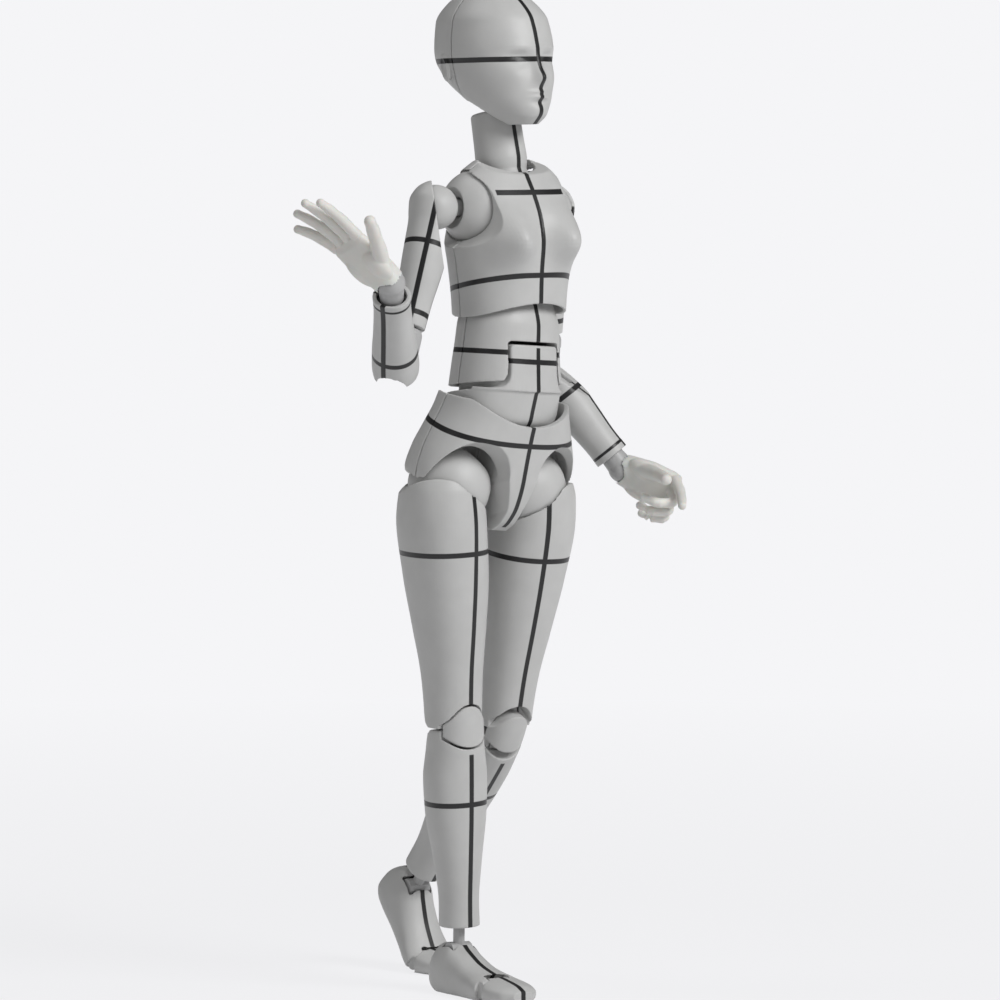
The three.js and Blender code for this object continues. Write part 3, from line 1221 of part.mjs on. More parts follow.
// Stands the figure on its right sole: that sole goes level, with the origin under the ankle.
const pelvisPlace = new THREE.Matrix4();
figure.updateMatrixWorld(true);
pelvisPlace.copy(rightLeg.pitch.matrixWorld)
  .multiply(new THREE.Matrix4().makeTranslation(-hipSpread, 0, 0)).invert();
pelvis.applyMatrix4(pelvisPlace);

// With the left hip swung so far, its ankle rolls and its toe bends until the toe's sole is level.
// Returns the height of that sole.
function leftSoleHeight(swing) {
  turnTo(leftLeg.swing, swing);
  figure.updateMatrixWorld(true);
  const shinTurn = new THREE.Quaternion().setFromRotationMatrix(leftLeg.shin.matrixWorld);
  const up = new THREE.Vector3(0, 0, 1).applyQuaternion(shinTurn.invert());
  turnTo(leftLeg.roll, THREE.MathUtils.radToDeg(Math.atan2(up.x, up.z)));
  turnTo(leftLeg.bend, leftLeg.pitch.userData.degrees + THREE.MathUtils.radToDeg(Math.asin(up.y)));
  figure.updateMatrixWorld(true);
  return new THREE.Vector3(hipSpread, toeHingeAt()[1] - 1, 0).applyMatrix4(leftLeg.bend.matrixWorld).z;
}

// Swings the left hip about its pose until the toe just touches the floor.
let [low, high] = [legJoints.left.hip_swing[2] - touchdownSearch, legJoints.left.hip_swing[2] + touchdownSearch];
const lowIsAbove = leftSoleHeight(low) > 0;
while (high - low > 1e-9) {
  const middle = (low + high) / 2;
  if ((leftSoleHeight(middle) > 0) === lowIsAbove) low = middle;
  else high = middle;
}
leftSoleHeight(low);

export default figure;
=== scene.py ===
# The looks of the jointed drawing figure: smooth moulded shells, printed guide lines, hands and a plain face.
# Shapes are drawn in millimetres in the same neutral stance as the solids, then set in the photographed pose.
import json
from math import asin, atan2, copysign, cos, degrees as degrees_of, pi, radians, sin, sqrt

import bpy
import bmesh
import numpy as np
from mathutils import Matrix, Vector


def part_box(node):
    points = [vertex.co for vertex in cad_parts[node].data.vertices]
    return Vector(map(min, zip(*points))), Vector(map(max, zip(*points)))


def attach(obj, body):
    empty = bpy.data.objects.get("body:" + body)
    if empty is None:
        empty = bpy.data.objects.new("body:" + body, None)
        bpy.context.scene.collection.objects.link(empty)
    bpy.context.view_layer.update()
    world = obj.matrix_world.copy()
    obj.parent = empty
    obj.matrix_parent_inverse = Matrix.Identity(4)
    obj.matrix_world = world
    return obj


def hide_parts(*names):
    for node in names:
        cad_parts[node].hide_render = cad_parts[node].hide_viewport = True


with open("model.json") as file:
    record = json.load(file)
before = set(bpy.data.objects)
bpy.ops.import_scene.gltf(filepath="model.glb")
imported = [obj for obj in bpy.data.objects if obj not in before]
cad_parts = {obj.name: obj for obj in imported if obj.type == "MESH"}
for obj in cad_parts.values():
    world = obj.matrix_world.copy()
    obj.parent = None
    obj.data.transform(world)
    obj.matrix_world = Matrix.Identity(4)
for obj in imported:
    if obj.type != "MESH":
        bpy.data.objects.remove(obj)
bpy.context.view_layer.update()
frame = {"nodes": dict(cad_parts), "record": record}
scene = bpy.context.scene

MM = 0.001
# Farther than any piece reaches, for tools that cut right through
FAR = 300.0
# Gaps: between pieces that move, between two halves, and at the end of a peg
RUN, SEAM, PEG_END = 0.3, 0.1, 0.25

# Lengths from joint to joint
ANKLE, ANKLE_BALL = 5.6, 5
KNEE_LOW = ANKLE + 28.2
KNEE_SPACING = 4.4
KNEE_MID = KNEE_LOW + KNEE_SPACING / 2
KNEE_HIGH = KNEE_LOW + KNEE_SPACING
HIP = KNEE_HIGH + 30.3
WAIST = HIP + 10.8
MIDDLE = WAIST + 6.4
CHEST = MIDDLE + 7.6
SHOULDER = CHEST + 12.8
NECK = CHEST + 16.4
HEAD = NECK + 12.6
ELBOW_HIGH = SHOULDER - 20.6
ELBOW_SPACING = 3.4
ELBOW_MID = ELBOW_HIGH - ELBOW_SPACING / 2
ELBOW_LOW = ELBOW_HIGH - ELBOW_SPACING
WRIST = ELBOW_LOW - 15

HIP_X, HIP_Y, KNEE_Y = 6.5, 0.2, 0.2
PIVOT_X, ARM_X, NECK_Y = 4.2, 11.3, 0.6
HEEL_Y, FOOT_LONG, TOE_LONG = 4.6, 20, 6.2
TOE = (HIP_X, HEEL_Y - (FOOT_LONG - TOE_LONG), 1.65)
WAIST_AT, MIDDLE_AT, CHEST_AT = (0, 0, WAIST), (0, 0, MIDDLE), (0, 0, CHEST)
NECK_AT, HEAD_AT = (0, NECK_Y, NECK), (0, NECK_Y, HEAD)
# Radii of the torso's joint balls, of the ball in the neck's foot, and of the pegs and pins
SMALL_BALL, LARGE_BALL, NECK_FOOT = 2.1, 2.3, 3.4
PEG, THIN_PEG, KNEE_PIN, ELBOW_PIN, TOE_PIN = 1.5, 1.25, 1.05, 0.8, 0.85


class Solid:
    """Points and faces, with the cuts and joins that are still to be made."""

    def __init__(self, points, faces, steps=()):
        self.points, self.faces, self.steps = np.asarray(points, float), faces, list(steps)

    def then(self, operation, others):
        return Solid(self.points, self.faces, self.steps + [(operation, other) for other in others])

    def add(self, *others):
        return self.then("UNION", others)

    def cut(self, *others):
        return self.then("DIFFERENCE", others)

    def keep(self, *others):
        return self.then("INTERSECT", others)

    def placed(self, matrix):
        turn = np.array(matrix.to_3x3())
        return Solid(self.points @ turn.T + np.array(matrix.translation), self.faces)


def linked(name, data):
    obj = bpy.data.objects.new(name, data)
    scene.collection.objects.link(obj)
    return obj


def mesh_of(name, solid):
    mesh = bpy.data.meshes.new(name)
    mesh.from_pydata(solid.points.tolist(), [], [tuple(face) for face in solid.faces])
    return mesh


def scratch(solid):
    return linked("scratch", mesh_of("scratch", solid))


def points_of(mesh):
    points = np.empty(len(mesh.vertices) * 3)
    mesh.vertices.foreach_get("co", points)
    return points.reshape(-1, 3)


def read_mesh(obj):
    mesh = obj.evaluated_get(bpy.context.evaluated_depsgraph_get()).to_mesh()
    mesh.calc_loop_triangles()
    faces = np.empty(len(mesh.loop_triangles) * 3, dtype=np.int32)
    mesh.loop_triangles.foreach_get("vertices", faces)
    return Solid(points_of(mesh), faces.reshape(-1, 3))


def discard(objects):
    for obj in objects:
        mesh = obj.data
        bpy.data.objects.remove(obj)
        bpy.data.meshes.remove(mesh)


def solved(solid):
    if not solid.steps:
        return solid
    tools = [(operation, scratch(solved(tool))) for operation, tool in solid.steps]
    base = scratch(solid)
    for operation, tool in tools:
        step = base.modifiers.new(operation, "BOOLEAN")
        step.operation, step.solver, step.object = operation, "MANIFOLD", tool
    result = read_mesh(base)
    discard([base] + [tool for _, tool in tools])
    return result


def moulded(solid, voxel, passes=3, share=0.3):
    """The soft edges of a moulding: remeshed finely, relaxed and thinned out again."""
    solid = solved(solid)
    base = scratch(solid)
    grid = base.modifiers.new("grid", "REMESH")
    grid.mode, grid.voxel_size = "VOXEL", voxel
    soft = base.modifiers.new("soft", "SMOOTH")
    soft.factor, soft.iterations = 0.5, passes
    thin = base.modifiers.new("thin", "DECIMATE")
    thin.ratio = share
    result = read_mesh(base)
    discard([base])
    return result


def mirrored(solid):
    return Solid(solid.points * [-1, 1, 1], [tuple(face)[::-1] for face in solid.faces])


def smoothly(places, values, at):
    """A smooth value through (place, value) pairs that never overshoots them."""
    places, values, at = np.asarray(places, float), np.asarray(values, float), np.asarray(at, float)
    slopes = np.diff(values) / np.diff(places)
    tangents = np.concatenate([slopes[:1], slopes[1:], slopes[-1:]])
    before, after = slopes[:-1], slopes[1:]
    product, total = before * after, before + after
    tangents[1:-1] = np.where(product <= 0, 0, 2 * product / np.where(total == 0, 1, total))
    i = np.clip(np.searchsorted(places, at) - 1, 0, len(places) - 2)
    span = places[i + 1] - places[i]
    t = (at - places[i]) / span
    return (values[i] * (2 * t**3 - 3 * t**2 + 1) + values[i + 1] * (3 * t**2 - 2 * t**3)
            + span * (tangents[i] * (t**3 - 2 * t**2 + t) + tangents[i + 1] * (t**3 - t**2)))


def skin(rings, sides):
    """The faces of a closed tube of rings."""
    faces = []
    for ring in range(rings - 1):
        low, high = ring * sides, (ring + 1) * sides
        for side in range(sides):
            after = (side + 1) % sides
            faces.append((low + side, low + after, high + after, high + side))
    faces.append(tuple(range(sides - 1, -1, -1)))
    faces.append(tuple(range((rings - 1) * sides, rings * sides)))
    return faces


def loft(sections, squareness=2.3, relief=None, sides=80, steps=6):
    """A closed body through level sections [height, half width, front, back, middle x, middle y].

    Steps is the number of levels from one section to the next."""
    rows = np.zeros((len(sections), 6))
    for i, section in enumerate(sections):
        rows[i, :len(section)] = section
    heights = rows[:, 0]
    levels = [np.linspace(low, high, steps, endpoint=False) for low, high in zip(heights, heights[1:])]
    z = np.concatenate(levels + [heights[-1:]])
    half, front, back, x0, y0 = [smoothly(heights, rows[:, k], z)[:, None] for k in range(1, 6)]
    angle = 2 * np.pi * (np.arange(sides) + 0.5) / sides
    c, s = np.cos(angle)[None, :], np.sin(angle)[None, :]
    x = x0 + half * np.sign(c) * np.abs(c) ** (2 / squareness)
    y = y0 + np.where(s < 0, front, back) * np.sign(s) * np.abs(s) ** (2 / squareness)
    points = np.stack([x, y, np.broadcast_to(z[:, None], x.shape)], axis=-1).reshape(-1, 3)
    if relief:
        points = relief(points)
    return Solid(points, skin(len(z), sides))


def unit_ball():
    maker = bmesh.new()
    bmesh.ops.create_icosphere(maker, subdivisions=5, radius=1)
    points = np.array([tuple(v.co) for v in maker.verts])
    faces = [tuple(v.index for v in face.verts) for face in maker.faces]
    maker.free()
    return points / np.linalg.norm(points, axis=1, keepdims=True), faces


BALL_POINTS, BALL_FACES = unit_ball()


def ball(centre, radius, stretch=(1, 1, 1)):
    return Solid(BALL_POINTS * radius * np.array(stretch) + np.array(centre), BALL_FACES)


def circle(radius, height, sides):
    angle = 2 * np.pi * np.arange(sides) / sides
    return np.stack([radius * np.cos(angle), radius * np.sin(angle), np.full(sides, height)], axis=-1)


def facing(place, direction):
    """The move that takes the origin to a place and its z axis to a direction."""
    turn = Vector((0, 0, 1)).rotation_difference(direction.normalized())
    return Matrix.Translation(place) @ turn.to_matrix().to_4x4()


def rod(start, end, radius, end_radius=None, sides=56):
    start, end = Vector(start), Vector(end)
    top = radius if end_radius is None else end_radius
    rings = [circle(radius, 0, sides), circle(top, (end - start).length, sides)]
    return Solid(np.concatenate(rings), skin(2, sides)).placed(facing(start, end - start))


def post(x, y, low, high, radius, top=None):
    return rod((x, y, low), (x, y, high), radius, top)


def across(x, y, z, half, radius):
    return rod((x - half, y, z), (x + half, y, z), radius)


def block(low, high):
    (x0, y0, z0), (x1, y1, z1) = low, high
    ring = [(x0, y0), (x1, y0), (x1, y1), (x0, y1)]
    return Solid([(x, y, z) for z in (z0, z1) for x, y in ring], skin(2, 4))


def turned(profile, centre, sides=72):
    """A round body from (radius, height) pairs."""
    rings = [circle(max(radius, 1e-3), height, sides) for radius, height in profile]
    return Solid(np.concatenate(rings) + np.array(centre), skin(len(profile), sides))


def beyond(point, normal):
    """Everything on the side of a plane that its normal points to."""
    return block((-FAR, -FAR, 0), (FAR, FAR, FAR)).placed(facing(Vector(point), Vector(normal)))


def pushed_through(outline, from_y, to_y):
    """An X-Z outline, drawn anticlockwise as seen from the front, pushed from one y to another."""
    points = [(x, y, z) for y in (from_y, to_y) for x, z in outline]
    return Solid(points, [face[::-1] for face in skin(2, len(outline))])


def bezier(places, count):
    """Points along a curve, without its first one."""
    t = np.linspace(0, 1, count + 1)[1:, None]
    places = [np.array(place, float) for place in places]
    while len(places) > 1:
        places = [a + (b - a) * t for a, b in zip(places, places[1:])]
    return [tuple(point) for point in places[0]]


def eased(value, power):
    return copysign(abs(value)**power, value)


def arch_radius(half_span, rise):
    return (half_span**2 + rise**2) / (2 * rise)


def around(count):
    return np.linspace(0, 2 * pi, count, endpoint=False)


def rotation(degrees, axis):
    return Matrix.Rotation(radians(degrees), 4, axis)


def leaning_rod(height, slope, radius, sides):
    """A long rod from front to back, which falls by its slope on the way."""
    fall = slope * FAR / 2
    return rod((0, -FAR / 2, height + fall), (0, FAR / 2, height - fall), radius, sides=sides)


def tipped(degrees, up=1):
    """An upward or downward normal, tipped forwards or backwards."""
    angle = radians(degrees)
    return (0, -up * sin(angle), up * cos(angle))


def shaped(rows, low, high, width, front, back, x0=0, y0=0):
    """Sections of a loft from rows of shares [height, width, front, back, middle x in millimetres]."""
    return [[low + (high - low) * row[0], width / 2 * row[1], front * row[2], back * row[3],
             x0 + (row[4] if len(row) > 4 else 0), y0] for row in rows]


def halves(solid, y):
    """The front and the back of a body, on both sides of a seam."""
    whole = solved(solid)
    return (whole.cut(beyond((0, y - SEAM / 2, 0), (0, 1, 0))),
            whole.cut(beyond((0, y + SEAM / 2, 0), (0, -1, 0))))


# Head and neck
HEAD_FORM = [
    [0, 0.26, 0.34, 0.1], [0.07, 0.5, 0.62, 0.22], [0.2, 0.76, 0.9, 0.5], [0.36, 0.92, 0.97, 0.86],
    [0.55, 1, 1, 1], [0.75, 0.95, 0.9, 0.98], [0.9, 0.7, 0.62, 0.76], [0.975, 0.36, 0.3, 0.4],
    [1, 0.12, 0.1, 0.14],
]
CHIN = HEAD - 5
HEAD_TALL, HEAD_WIDE, HEAD_DEEP = 18.4, 14.4, 8.5
# Bridge of the nose, eye sockets, lids, brow, cheeks, lips, the hollow under them, and the chin:
# [depth, distance from the middle, half width, height as a share of the head, half height]
FACE = [
    [0.6, 0, 0.75, 0.43, 0.09], [-0.75, 2.7, 1.5, 0.475, 0.055], [0.42, 2.75, 0.95, 0.462, 0.027],
    [0.28, 2.6, 2, 0.55, 0.035], [0.3, 3.6, 1.5, 0.34, 0.08], [0.36, 0, 1.5, 0.232, 0.014],
    [0.42, 0, 1.25, 0.196, 0.016], [-0.28, 0, 1.5, 0.155, 0.02], [0.3, 0, 1.6, 0.09, 0.04],
]


def bump(distance, size):
    return np.exp(-((distance / size) ** 2))


def face_relief(points):
    x, y, z = points.T
    up = (z - CHIN) / HEAD_TALL
    forward = smoothly([0, 0.2, 0.45], [4.9, 1.4, 0], np.minimum(up, 0.45))
    front = 1.15 * bump(x, 0.85 + 0.9 * np.clip(0.36 - up, 0, 0.1) * 4) * bump(up - 0.335, 0.055)
    for depth, aside, wide, height, tall in FACE:
        front = front + depth * bump(np.abs(x) - aside, wide) * bump(up - height, tall)
    front = np.where(y < 0, 1, 0) * front
    return np.stack([x, y - forward - front, z], axis=-1)


def head_halves():
    form = shaped(HEAD_FORM, CHIN, CHIN + HEAD_TALL, HEAD_WIDE, HEAD_DEEP, HEAD_DEEP)
    whole = loft(form, 2.1, face_relief, sides=140, steps=14)
    for side in (1, -1):
        ear = (Matrix.Translation((side * 6.75, 2.1, CHIN + HEAD_TALL * 0.42))
               @ rotation(-14, "X") @ rotation(side * 22, "Z"))
        lobe = ball((0, 0, 0), 1, (0.62, 1.15, 1.95)).placed(ear)
        ear = ear @ Matrix.Translation((side * 0.55, -0.12, 0.1))
        hollow = ball((0, 0, 0), 1, (0.4, 0.72, 1.35)).placed(ear)
        whole = whole.add(lobe).cut(hollow)
    whole = whole.cut(ball(HEAD_AT, SMALL_BALL + RUN),
                      post(0, NECK_Y, CHIN - 1, HEAD - 1.8, 4.9))
    return halves(whole, NECK_Y)


def neck_piece():
    top = HEAD - 3.4 - NECK
    profile = [(0, -1.6)]
    profile += [(NECK_FOOT * cos(a), NECK_FOOT * sin(a)) for a in np.radians(np.linspace(-28, 20, 9))]
    profile += [(3.35, 1.9), (3.45, 2.6), (3.45, 3.4), (3.38, 5), (3.3, top - 0.3), (3.1, top), (0, top)]
    return turned(profile, NECK_AT).cut(
        ball(NECK_AT, SMALL_BALL + RUN), post(0, NECK_Y, HEAD - 8.5, HEAD, THIN_PEG))


# Chest
CHEST_FORM = [
    [0, 0.82, 0.95, 0.88], [0.15, 0.84, 0.96, 0.9], [0.35, 0.9, 0.97, 0.94],
    [0.5, 0.96, 0.975, 0.98], [0.65, 1.01, 0.92, 0.98], [0.8, 0.95, 0.74, 0.94],
    [0.92, 0.73, 0.53, 0.78], [1, 0.47, 0.42, 0.58],
]
CHEST_WIDE, CHEST_FORE, CHEST_AFT = 19, 7.8, 6.2


def bust(points):
    x, y, z = points.T
    across = (np.abs(x) - 4.5) / 2.8
    level = SHOULDER - 4.3
    up_down = (z - level) / np.where(z > level, 3.4, 3)
    rise = np.where(y > 0, 0, 3.1 * np.exp(-across**2 - up_down**2))
    return np.stack([x, y - rise, z], axis=-1)


def armhole(side):
    """The oval opening, squarer in its upper half, the round hollow behind it and the pivot's bore."""
    x, y, z = side * PIVOT_X, NECK_Y, SHOULDER
    cavity = solved(ball((x, y, z), 5.2 + RUN).cut(beyond((x - side * RUN, 0, 0), (-side, 0, 0))))
    half, wide = 1.7 + RUN, 4.9
    oval = []
    for a in around(96):
        tall, power = (5.9, 2 / 2.8) if a < pi else (5.5, 1)
        oval.append((side * 10.9 + wide * eased(cos(a), power),
                     z - 0.1 + tall * eased(sin(a), power)))
    return [cavity, pushed_through(oval, -FAR / 2, FAR / 2),
            post(x, y, z - half, z + half, PEG + RUN)]


def chest_halves():
    rim, roof, top = CHEST - 2.6, CHEST + 4, CHEST + 6.4
    wide, wall, rise = CHEST_WIDE / 2, 0.45, 2.7
    form = shaped(CHEST_FORM, rim, SHOULDER + 6.4, CHEST_WIDE, CHEST_FORE, CHEST_AFT)
    outer = loft(form, 2.25, bust, sides=110)
    hollow = loft([
        [rim - 1, wide * 0.82 - wall, CHEST_FORE * 0.95 - wall, CHEST_AFT * 0.88 - wall],
        [CHEST, wide * 0.835 - wall, CHEST_FORE * 0.95 - wall, CHEST_AFT * 0.89 - wall],
        [roof, wide * 0.8 - wall, CHEST_FORE * 0.86 - wall, CHEST_AFT * 0.86 - wall]], 2.25)
    radius = arch_radius(wide, rise)
    arch = leaning_rod(rim + rise - radius, 3.4 / 200, radius, 220)
    whole = outer.cut(hollow, arch, beyond((0, NECK_Y, NECK + 2.7), tipped(20)),
                      ball(NECK_AT, NECK_FOOT + RUN),
                      post(0, NECK_Y, NECK + 0.4, NECK + 6, 3.85, 4.9),
                      post(0, NECK_Y, NECK - 6.9, NECK, THIN_PEG),
                      post(0, 0, CHEST, top, PEG),
                      post(0, 0, top - 1.2, top + RUN, 2.4),
                      *armhole(1), *armhole(-1))
    return halves(whole, 0)


# Abdomen
ABDOMEN_FORM = [
    [0, 1.04, 1.08, 1.04], [0.25, 1.0, 1.02, 1], [0.45, 0.96, 0.98, 0.97], [0.65, 0.93, 0.96, 0.94],
    [0.8, 0.86, 0.87, 0.86], [0.91, 0.78, 0.77, 0.78], [0.975, 0.67, 0.64, 0.66], [1, 0.5, 0.45, 0.46],
]
ABDOMEN_WIDE, ABDOMEN_FORE, ABDOMEN_AFT, WALL = 15.5, 6.8, 5, 0.75
TAB_HALF, TAB_RISE = 4.2, 2.3


def abdomen_outer():
    return loft(shaped(ABDOMEN_FORM, MIDDLE - 3.9, CHEST + 1.9, ABDOMEN_WIDE, ABDOMEN_FORE, ABDOMEN_AFT))


def tab_block(extra):
    """The tab's outline: round upper corners, and a foot that flares out along the skirt."""
    half, top, foot = TAB_HALF + extra, MIDDLE + TAB_RISE + extra, MIDDLE - 3.6 + extra
    side = [(half + 7, foot - FAR / 2), (half + 7, foot), (half + 2.2, foot)]
    side += bezier([(half + 2.2, foot), (half, foot), (half, foot + 2.4)], 10)
    side += [(half, top - 0.7)] + bezier([(half, top - 0.7), (half, top), (half - 0.7, top)], 6)
    outline = side + [(-x, z) for x, z in side[::-1]]
    return pushed_through(outline, -FAR / 2, -ABDOMEN_FORE * 0.35)


def upper_abdomen_halves():
    skirt, roof, wide = MIDDLE - 3.9, MIDDLE + 3, ABDOMEN_WIDE / 2
    hollow = loft([
        [skirt - 1, wide * 1.03 - WALL, ABDOMEN_FORE * 1.07 - WALL, ABDOMEN_AFT * 1.03 - WALL],
        [MIDDLE, wide - WALL, ABDOMEN_FORE - WALL, ABDOMEN_AFT - WALL],
        [roof, wide * 0.72, ABDOMEN_FORE * 0.68, ABDOMEN_AFT * 0.68]])
    peg = MIDDLE + 4.3
    whole = abdomen_outer().cut(
        hollow, beyond((0, 0, skirt + 0.5), tipped(-7, -1)), tab_block(0.35),
        ball(CHEST_AT, LARGE_BALL + RUN), post(0, 0, CHEST + 1, CHEST + 4, 1.8, 2.35),
        post(0, 0, MIDDLE, peg + PEG_END, PEG), post(0, 0, peg - 1.15, peg + PEG_END, 2.35))
    return halves(whole, 0)


def cup(widen, deepen, top):
    """The bowl of the lower abdomen, or with more width and depth the hollow that it turns in."""
    half, front, back, down = 8.2 + widen, 6.4 + widen, 5.4 + widen, 3.5 + deepen
    shares = [(1, 0.3), (0.94, 0.55), (0.75, 0.8), (0.4, 0.955), (0, 1)]
    rows = [[WAIST - down * depth, half * share, front * share, back * share] for depth, share in shares]
    return loft(rows + [[top, half * 0.985, front * 1.1, back * 0.985]])


def lower_abdomen():
    step, top = WAIST + 2, MIDDLE + 2.3
    half, front, back = ABDOMEN_WIDE / 2 - WALL - 0.45, ABDOMEN_FORE - WALL - 0.5, ABDOMEN_AFT - WALL - 0.45
    dome = loft([[step - 1.5, half, front, back], [MIDDLE, half, front, back],
                 [top - 0.9, half * 0.78, front * 0.82, back * 0.82],
                 [top, half * 0.5, front * 0.5, back * 0.5]])
    bowl = cup(0, 0, step + 1).cut(beyond((0, 0, step + 0.1), tipped(-9)))
    tab = abdomen_outer().keep(tab_block(0)).cut(beyond((0, 0, step - 1), (0, 0, -1)))
    return bowl.add(dome, tab).cut(
        ball(WAIST_AT, LARGE_BALL + RUN), post(0, 0, WAIST - FAR / 2, WAIST - 1, 2.05),
        ball(MIDDLE_AT, SMALL_BALL + RUN), post(0, 0, MIDDLE + 1, MIDDLE + FAR / 2, 1.85))


# Pelvis and hips
PELVIS_FORM = [
    [0, 0.5, 0.5, 0.5], [0.08, 0.76, 0.72, 0.76], [0.22, 0.93, 0.9, 0.95], [0.4, 1, 0.98, 1],
    [0.56, 0.965, 1, 0.93], [0.74, 0.875, 1.03, 0.81], [0.9, 0.78, 1.07, 0.74], [1, 0.735, 1.08, 0.73],
]
PELVIS_WIDE, PELVIS_FORE, PELVIS_AFT = 25.2, 7.3, 8.3
# Half the web between the legs, the round insert with its peg, and the hollow that it turns in
WEB, HIP_BALL, HIP_PEG, HIP_HOLLOW = 2.5, 5.6, 1.6, 7.2


def leg_opening(side):
    """An arch over the leg, open below and to the side, leaning with the thigh."""
    half, rise, bottom, foot = 5.05, 4.7, 1.3, -0.6
    middle = WEB + half - 0.1
    outline = [(bottom, -6.8), (bottom, -4.2)]
    outline += bezier([(bottom, -4.2), (bottom + 0.4, -3), (middle - half, foot)], 10)
    outline += [(middle + half * cos(a), foot + rise * sin(a)) for a in np.linspace(pi, 0, 60)[1:]]
    outline += [(FAR / 2, foot), (FAR / 2, -FAR / 2), (bottom, -FAR / 2)]
    tool = pushed_through(outline[::-1], -FAR / 2, FAR / 2)
    tool = tool.placed(Matrix.Translation((0, 0, HIP)) @ rotation(-22, "X"))
    return tool if side > 0 else mirrored(tool)


def pelvis_halves():
    rim = WAIST + 1.5
    form = shaped(PELVIS_FORM, HIP - 5.2, rim, PELVIS_WIDE, PELVIS_FORE, PELVIS_AFT)
    radius = arch_radius(8.55, 3.1)
    dip = leaning_rod(rim - 3.2 + radius + 0.5, -3.7 / 200, radius, 200)
    cuts = [cup(0.6, 0.8, rim + 1), dip,
            across(0, HIP_Y, HIP, WEB + 1, PEG), across(0, HIP_Y, HIP, 1.4, 2.1),
            post(0, 0, WAIST - 6.9, WAIST, PEG)]
    for side in (1, -1):
        hollow = ball((side * HIP_X, HIP_Y, HIP), HIP_HOLLOW, (0.835, 1, 1))
        cuts += [hollow.cut(beyond((side * WEB, 0, 0), (-side, 0, 0))), leg_opening(side)]
    return halves(loft(form, sides=110).cut(*cuts), HIP_Y)


def hip_insert():
    """A ball on a peg, with flats and slots for the pelvis web and its axle at every spread of the leg."""
    x, y, z = HIP_X, HIP_Y, HIP
    inner = WEB + 0.35 - x
    cuts = []
    for tilt in (-8, 0, 20, 40):
        a = radians(tilt)
        cuts.append(beyond((x + inner * cos(a), y, z - inner * sin(a)), (-cos(a), 0, sin(a))))
    spread = radians(40)
    slot = Vector((-cos(spread), 0, sin(spread))) * FAR / 2
    ends = [(x - FAR / 2, y, z), (x + slot.x, y, z + slot.z), (x + slot.x * 1.1, y, z + slot.z * 0.5)]
    cuts.append(ball((x, y, z), 2.4 + RUN))
    cuts += [rod((x, y, z), end, 1.7) for end in ends]
    return ball((x, y, z), HIP_BALL).add(post(x, y, z, z - 10, HIP_PEG)).cut(*cuts)


# Legs
THIGH_FORM = [
    [0, 0.627, 0.6, 0.55, 0.3], [0.08, 0.635, 0.61, 0.56, 0.3], [0.2, 0.67, 0.65, 0.6, 0.35],
    [0.4, 0.8, 0.79, 0.74, 0.6], [0.6, 0.92, 0.91, 0.87, 0.95], [0.8, 0.96, 0.975, 0.92, 1.45],
    [0.93, 0.915, 0.9, 0.77, 1.5], [1, 0.82, 0.76, 0.58, 1.4],
]
THIGH_WIDE, THIGH_FORE, THIGH_AFT = 11.8, 6.6, 6.8
KNEE_WIDE, KNEE_DEEP, KNEE_PLATE, CAP_INNER = 7.4, 4.1, 2.8, 1.9
CAP_HALF, CAP_UP, CAP_DOWN = 4.2, 3.1, 2.4


def knee_cap_outline(extra):
    """A petal with points at its sides, whose shoulders are hollow above and full below."""
    wide, up, down = CAP_HALF + extra * 1.6, CAP_UP + extra, CAP_DOWN + extra
    quarters = [
        [(-wide, 0), (-wide * 0.5, up * 0.35), (-wide * 0.5, up), (0, up)],
        [(0, up), (wide * 0.5, up), (wide * 0.5, up * 0.35), (wide, 0)],
        [(wide, 0), (wide * 0.65, -down * 0.5), (wide * 0.5, -down), (0, -down)],
        [(0, -down), (-wide * 0.5, -down), (-wide * 0.65, -down * 0.5), (-wide, 0)]]
    outline = [point for quarter in quarters for point in bezier(quarter, 14)]
    outline = [(HIP_X + x, KNEE_MID + z) for x, z in outline]
    return pushed_through(outline[::-1], KNEE_Y - CAP_INNER + extra - FAR, KNEE_Y - CAP_INNER + extra)


def hinge_room(x, y, pin, up, back, spacing, plate, eye, bends):
    """Room for a link in a limb's end, which is planed so that it can bend.

    Up is 1 for the limb above the link, back is 1 for a joint that bends backwards, or else each is -1."""
    reach = spacing / 2 - RUN / 2
    over, behind = sorted((pin, pin + up * eye)), sorted((pin, pin - up * FAR))
    low, high = x - plate / 2 - RUN, x + plate / 2 + RUN
    near, far = sorted((y, back * FAR))
    cuts = [block((low, -FAR, behind[0]), (high, FAR, behind[1])),
            block((low, near, over[0]), (high, far, over[1])), rod((low, y, pin), (high, y, pin), eye)]
    for degrees in bends:
        bend = radians(degrees)
        normal = (0, back * sin(bend), -up * cos(bend))
        cuts.append(beyond((0, y + reach * normal[1], pin + reach * normal[2]), normal))
    return cuts


def with_eyes(link, x, y, half, pins, eye, bore):
    """A link with a round eye at each pin, bored for it."""
    link = link.add(*[across(x, y, z, half, eye) for z in pins])
    return link.cut(*[across(x, y, z, half + 1, bore) for z in pins])


def knee_room(pin, up):
    cuts = hinge_room(HIP_X, KNEE_Y, pin, up, 1, KNEE_SPACING, KNEE_PLATE, 1.9, (0, 32.5, 65))
    return cuts + [knee_cap_outline(RUN), across(HIP_X, KNEE_Y, pin, KNEE_WIDE / 2 - 0.9, KNEE_PIN)]


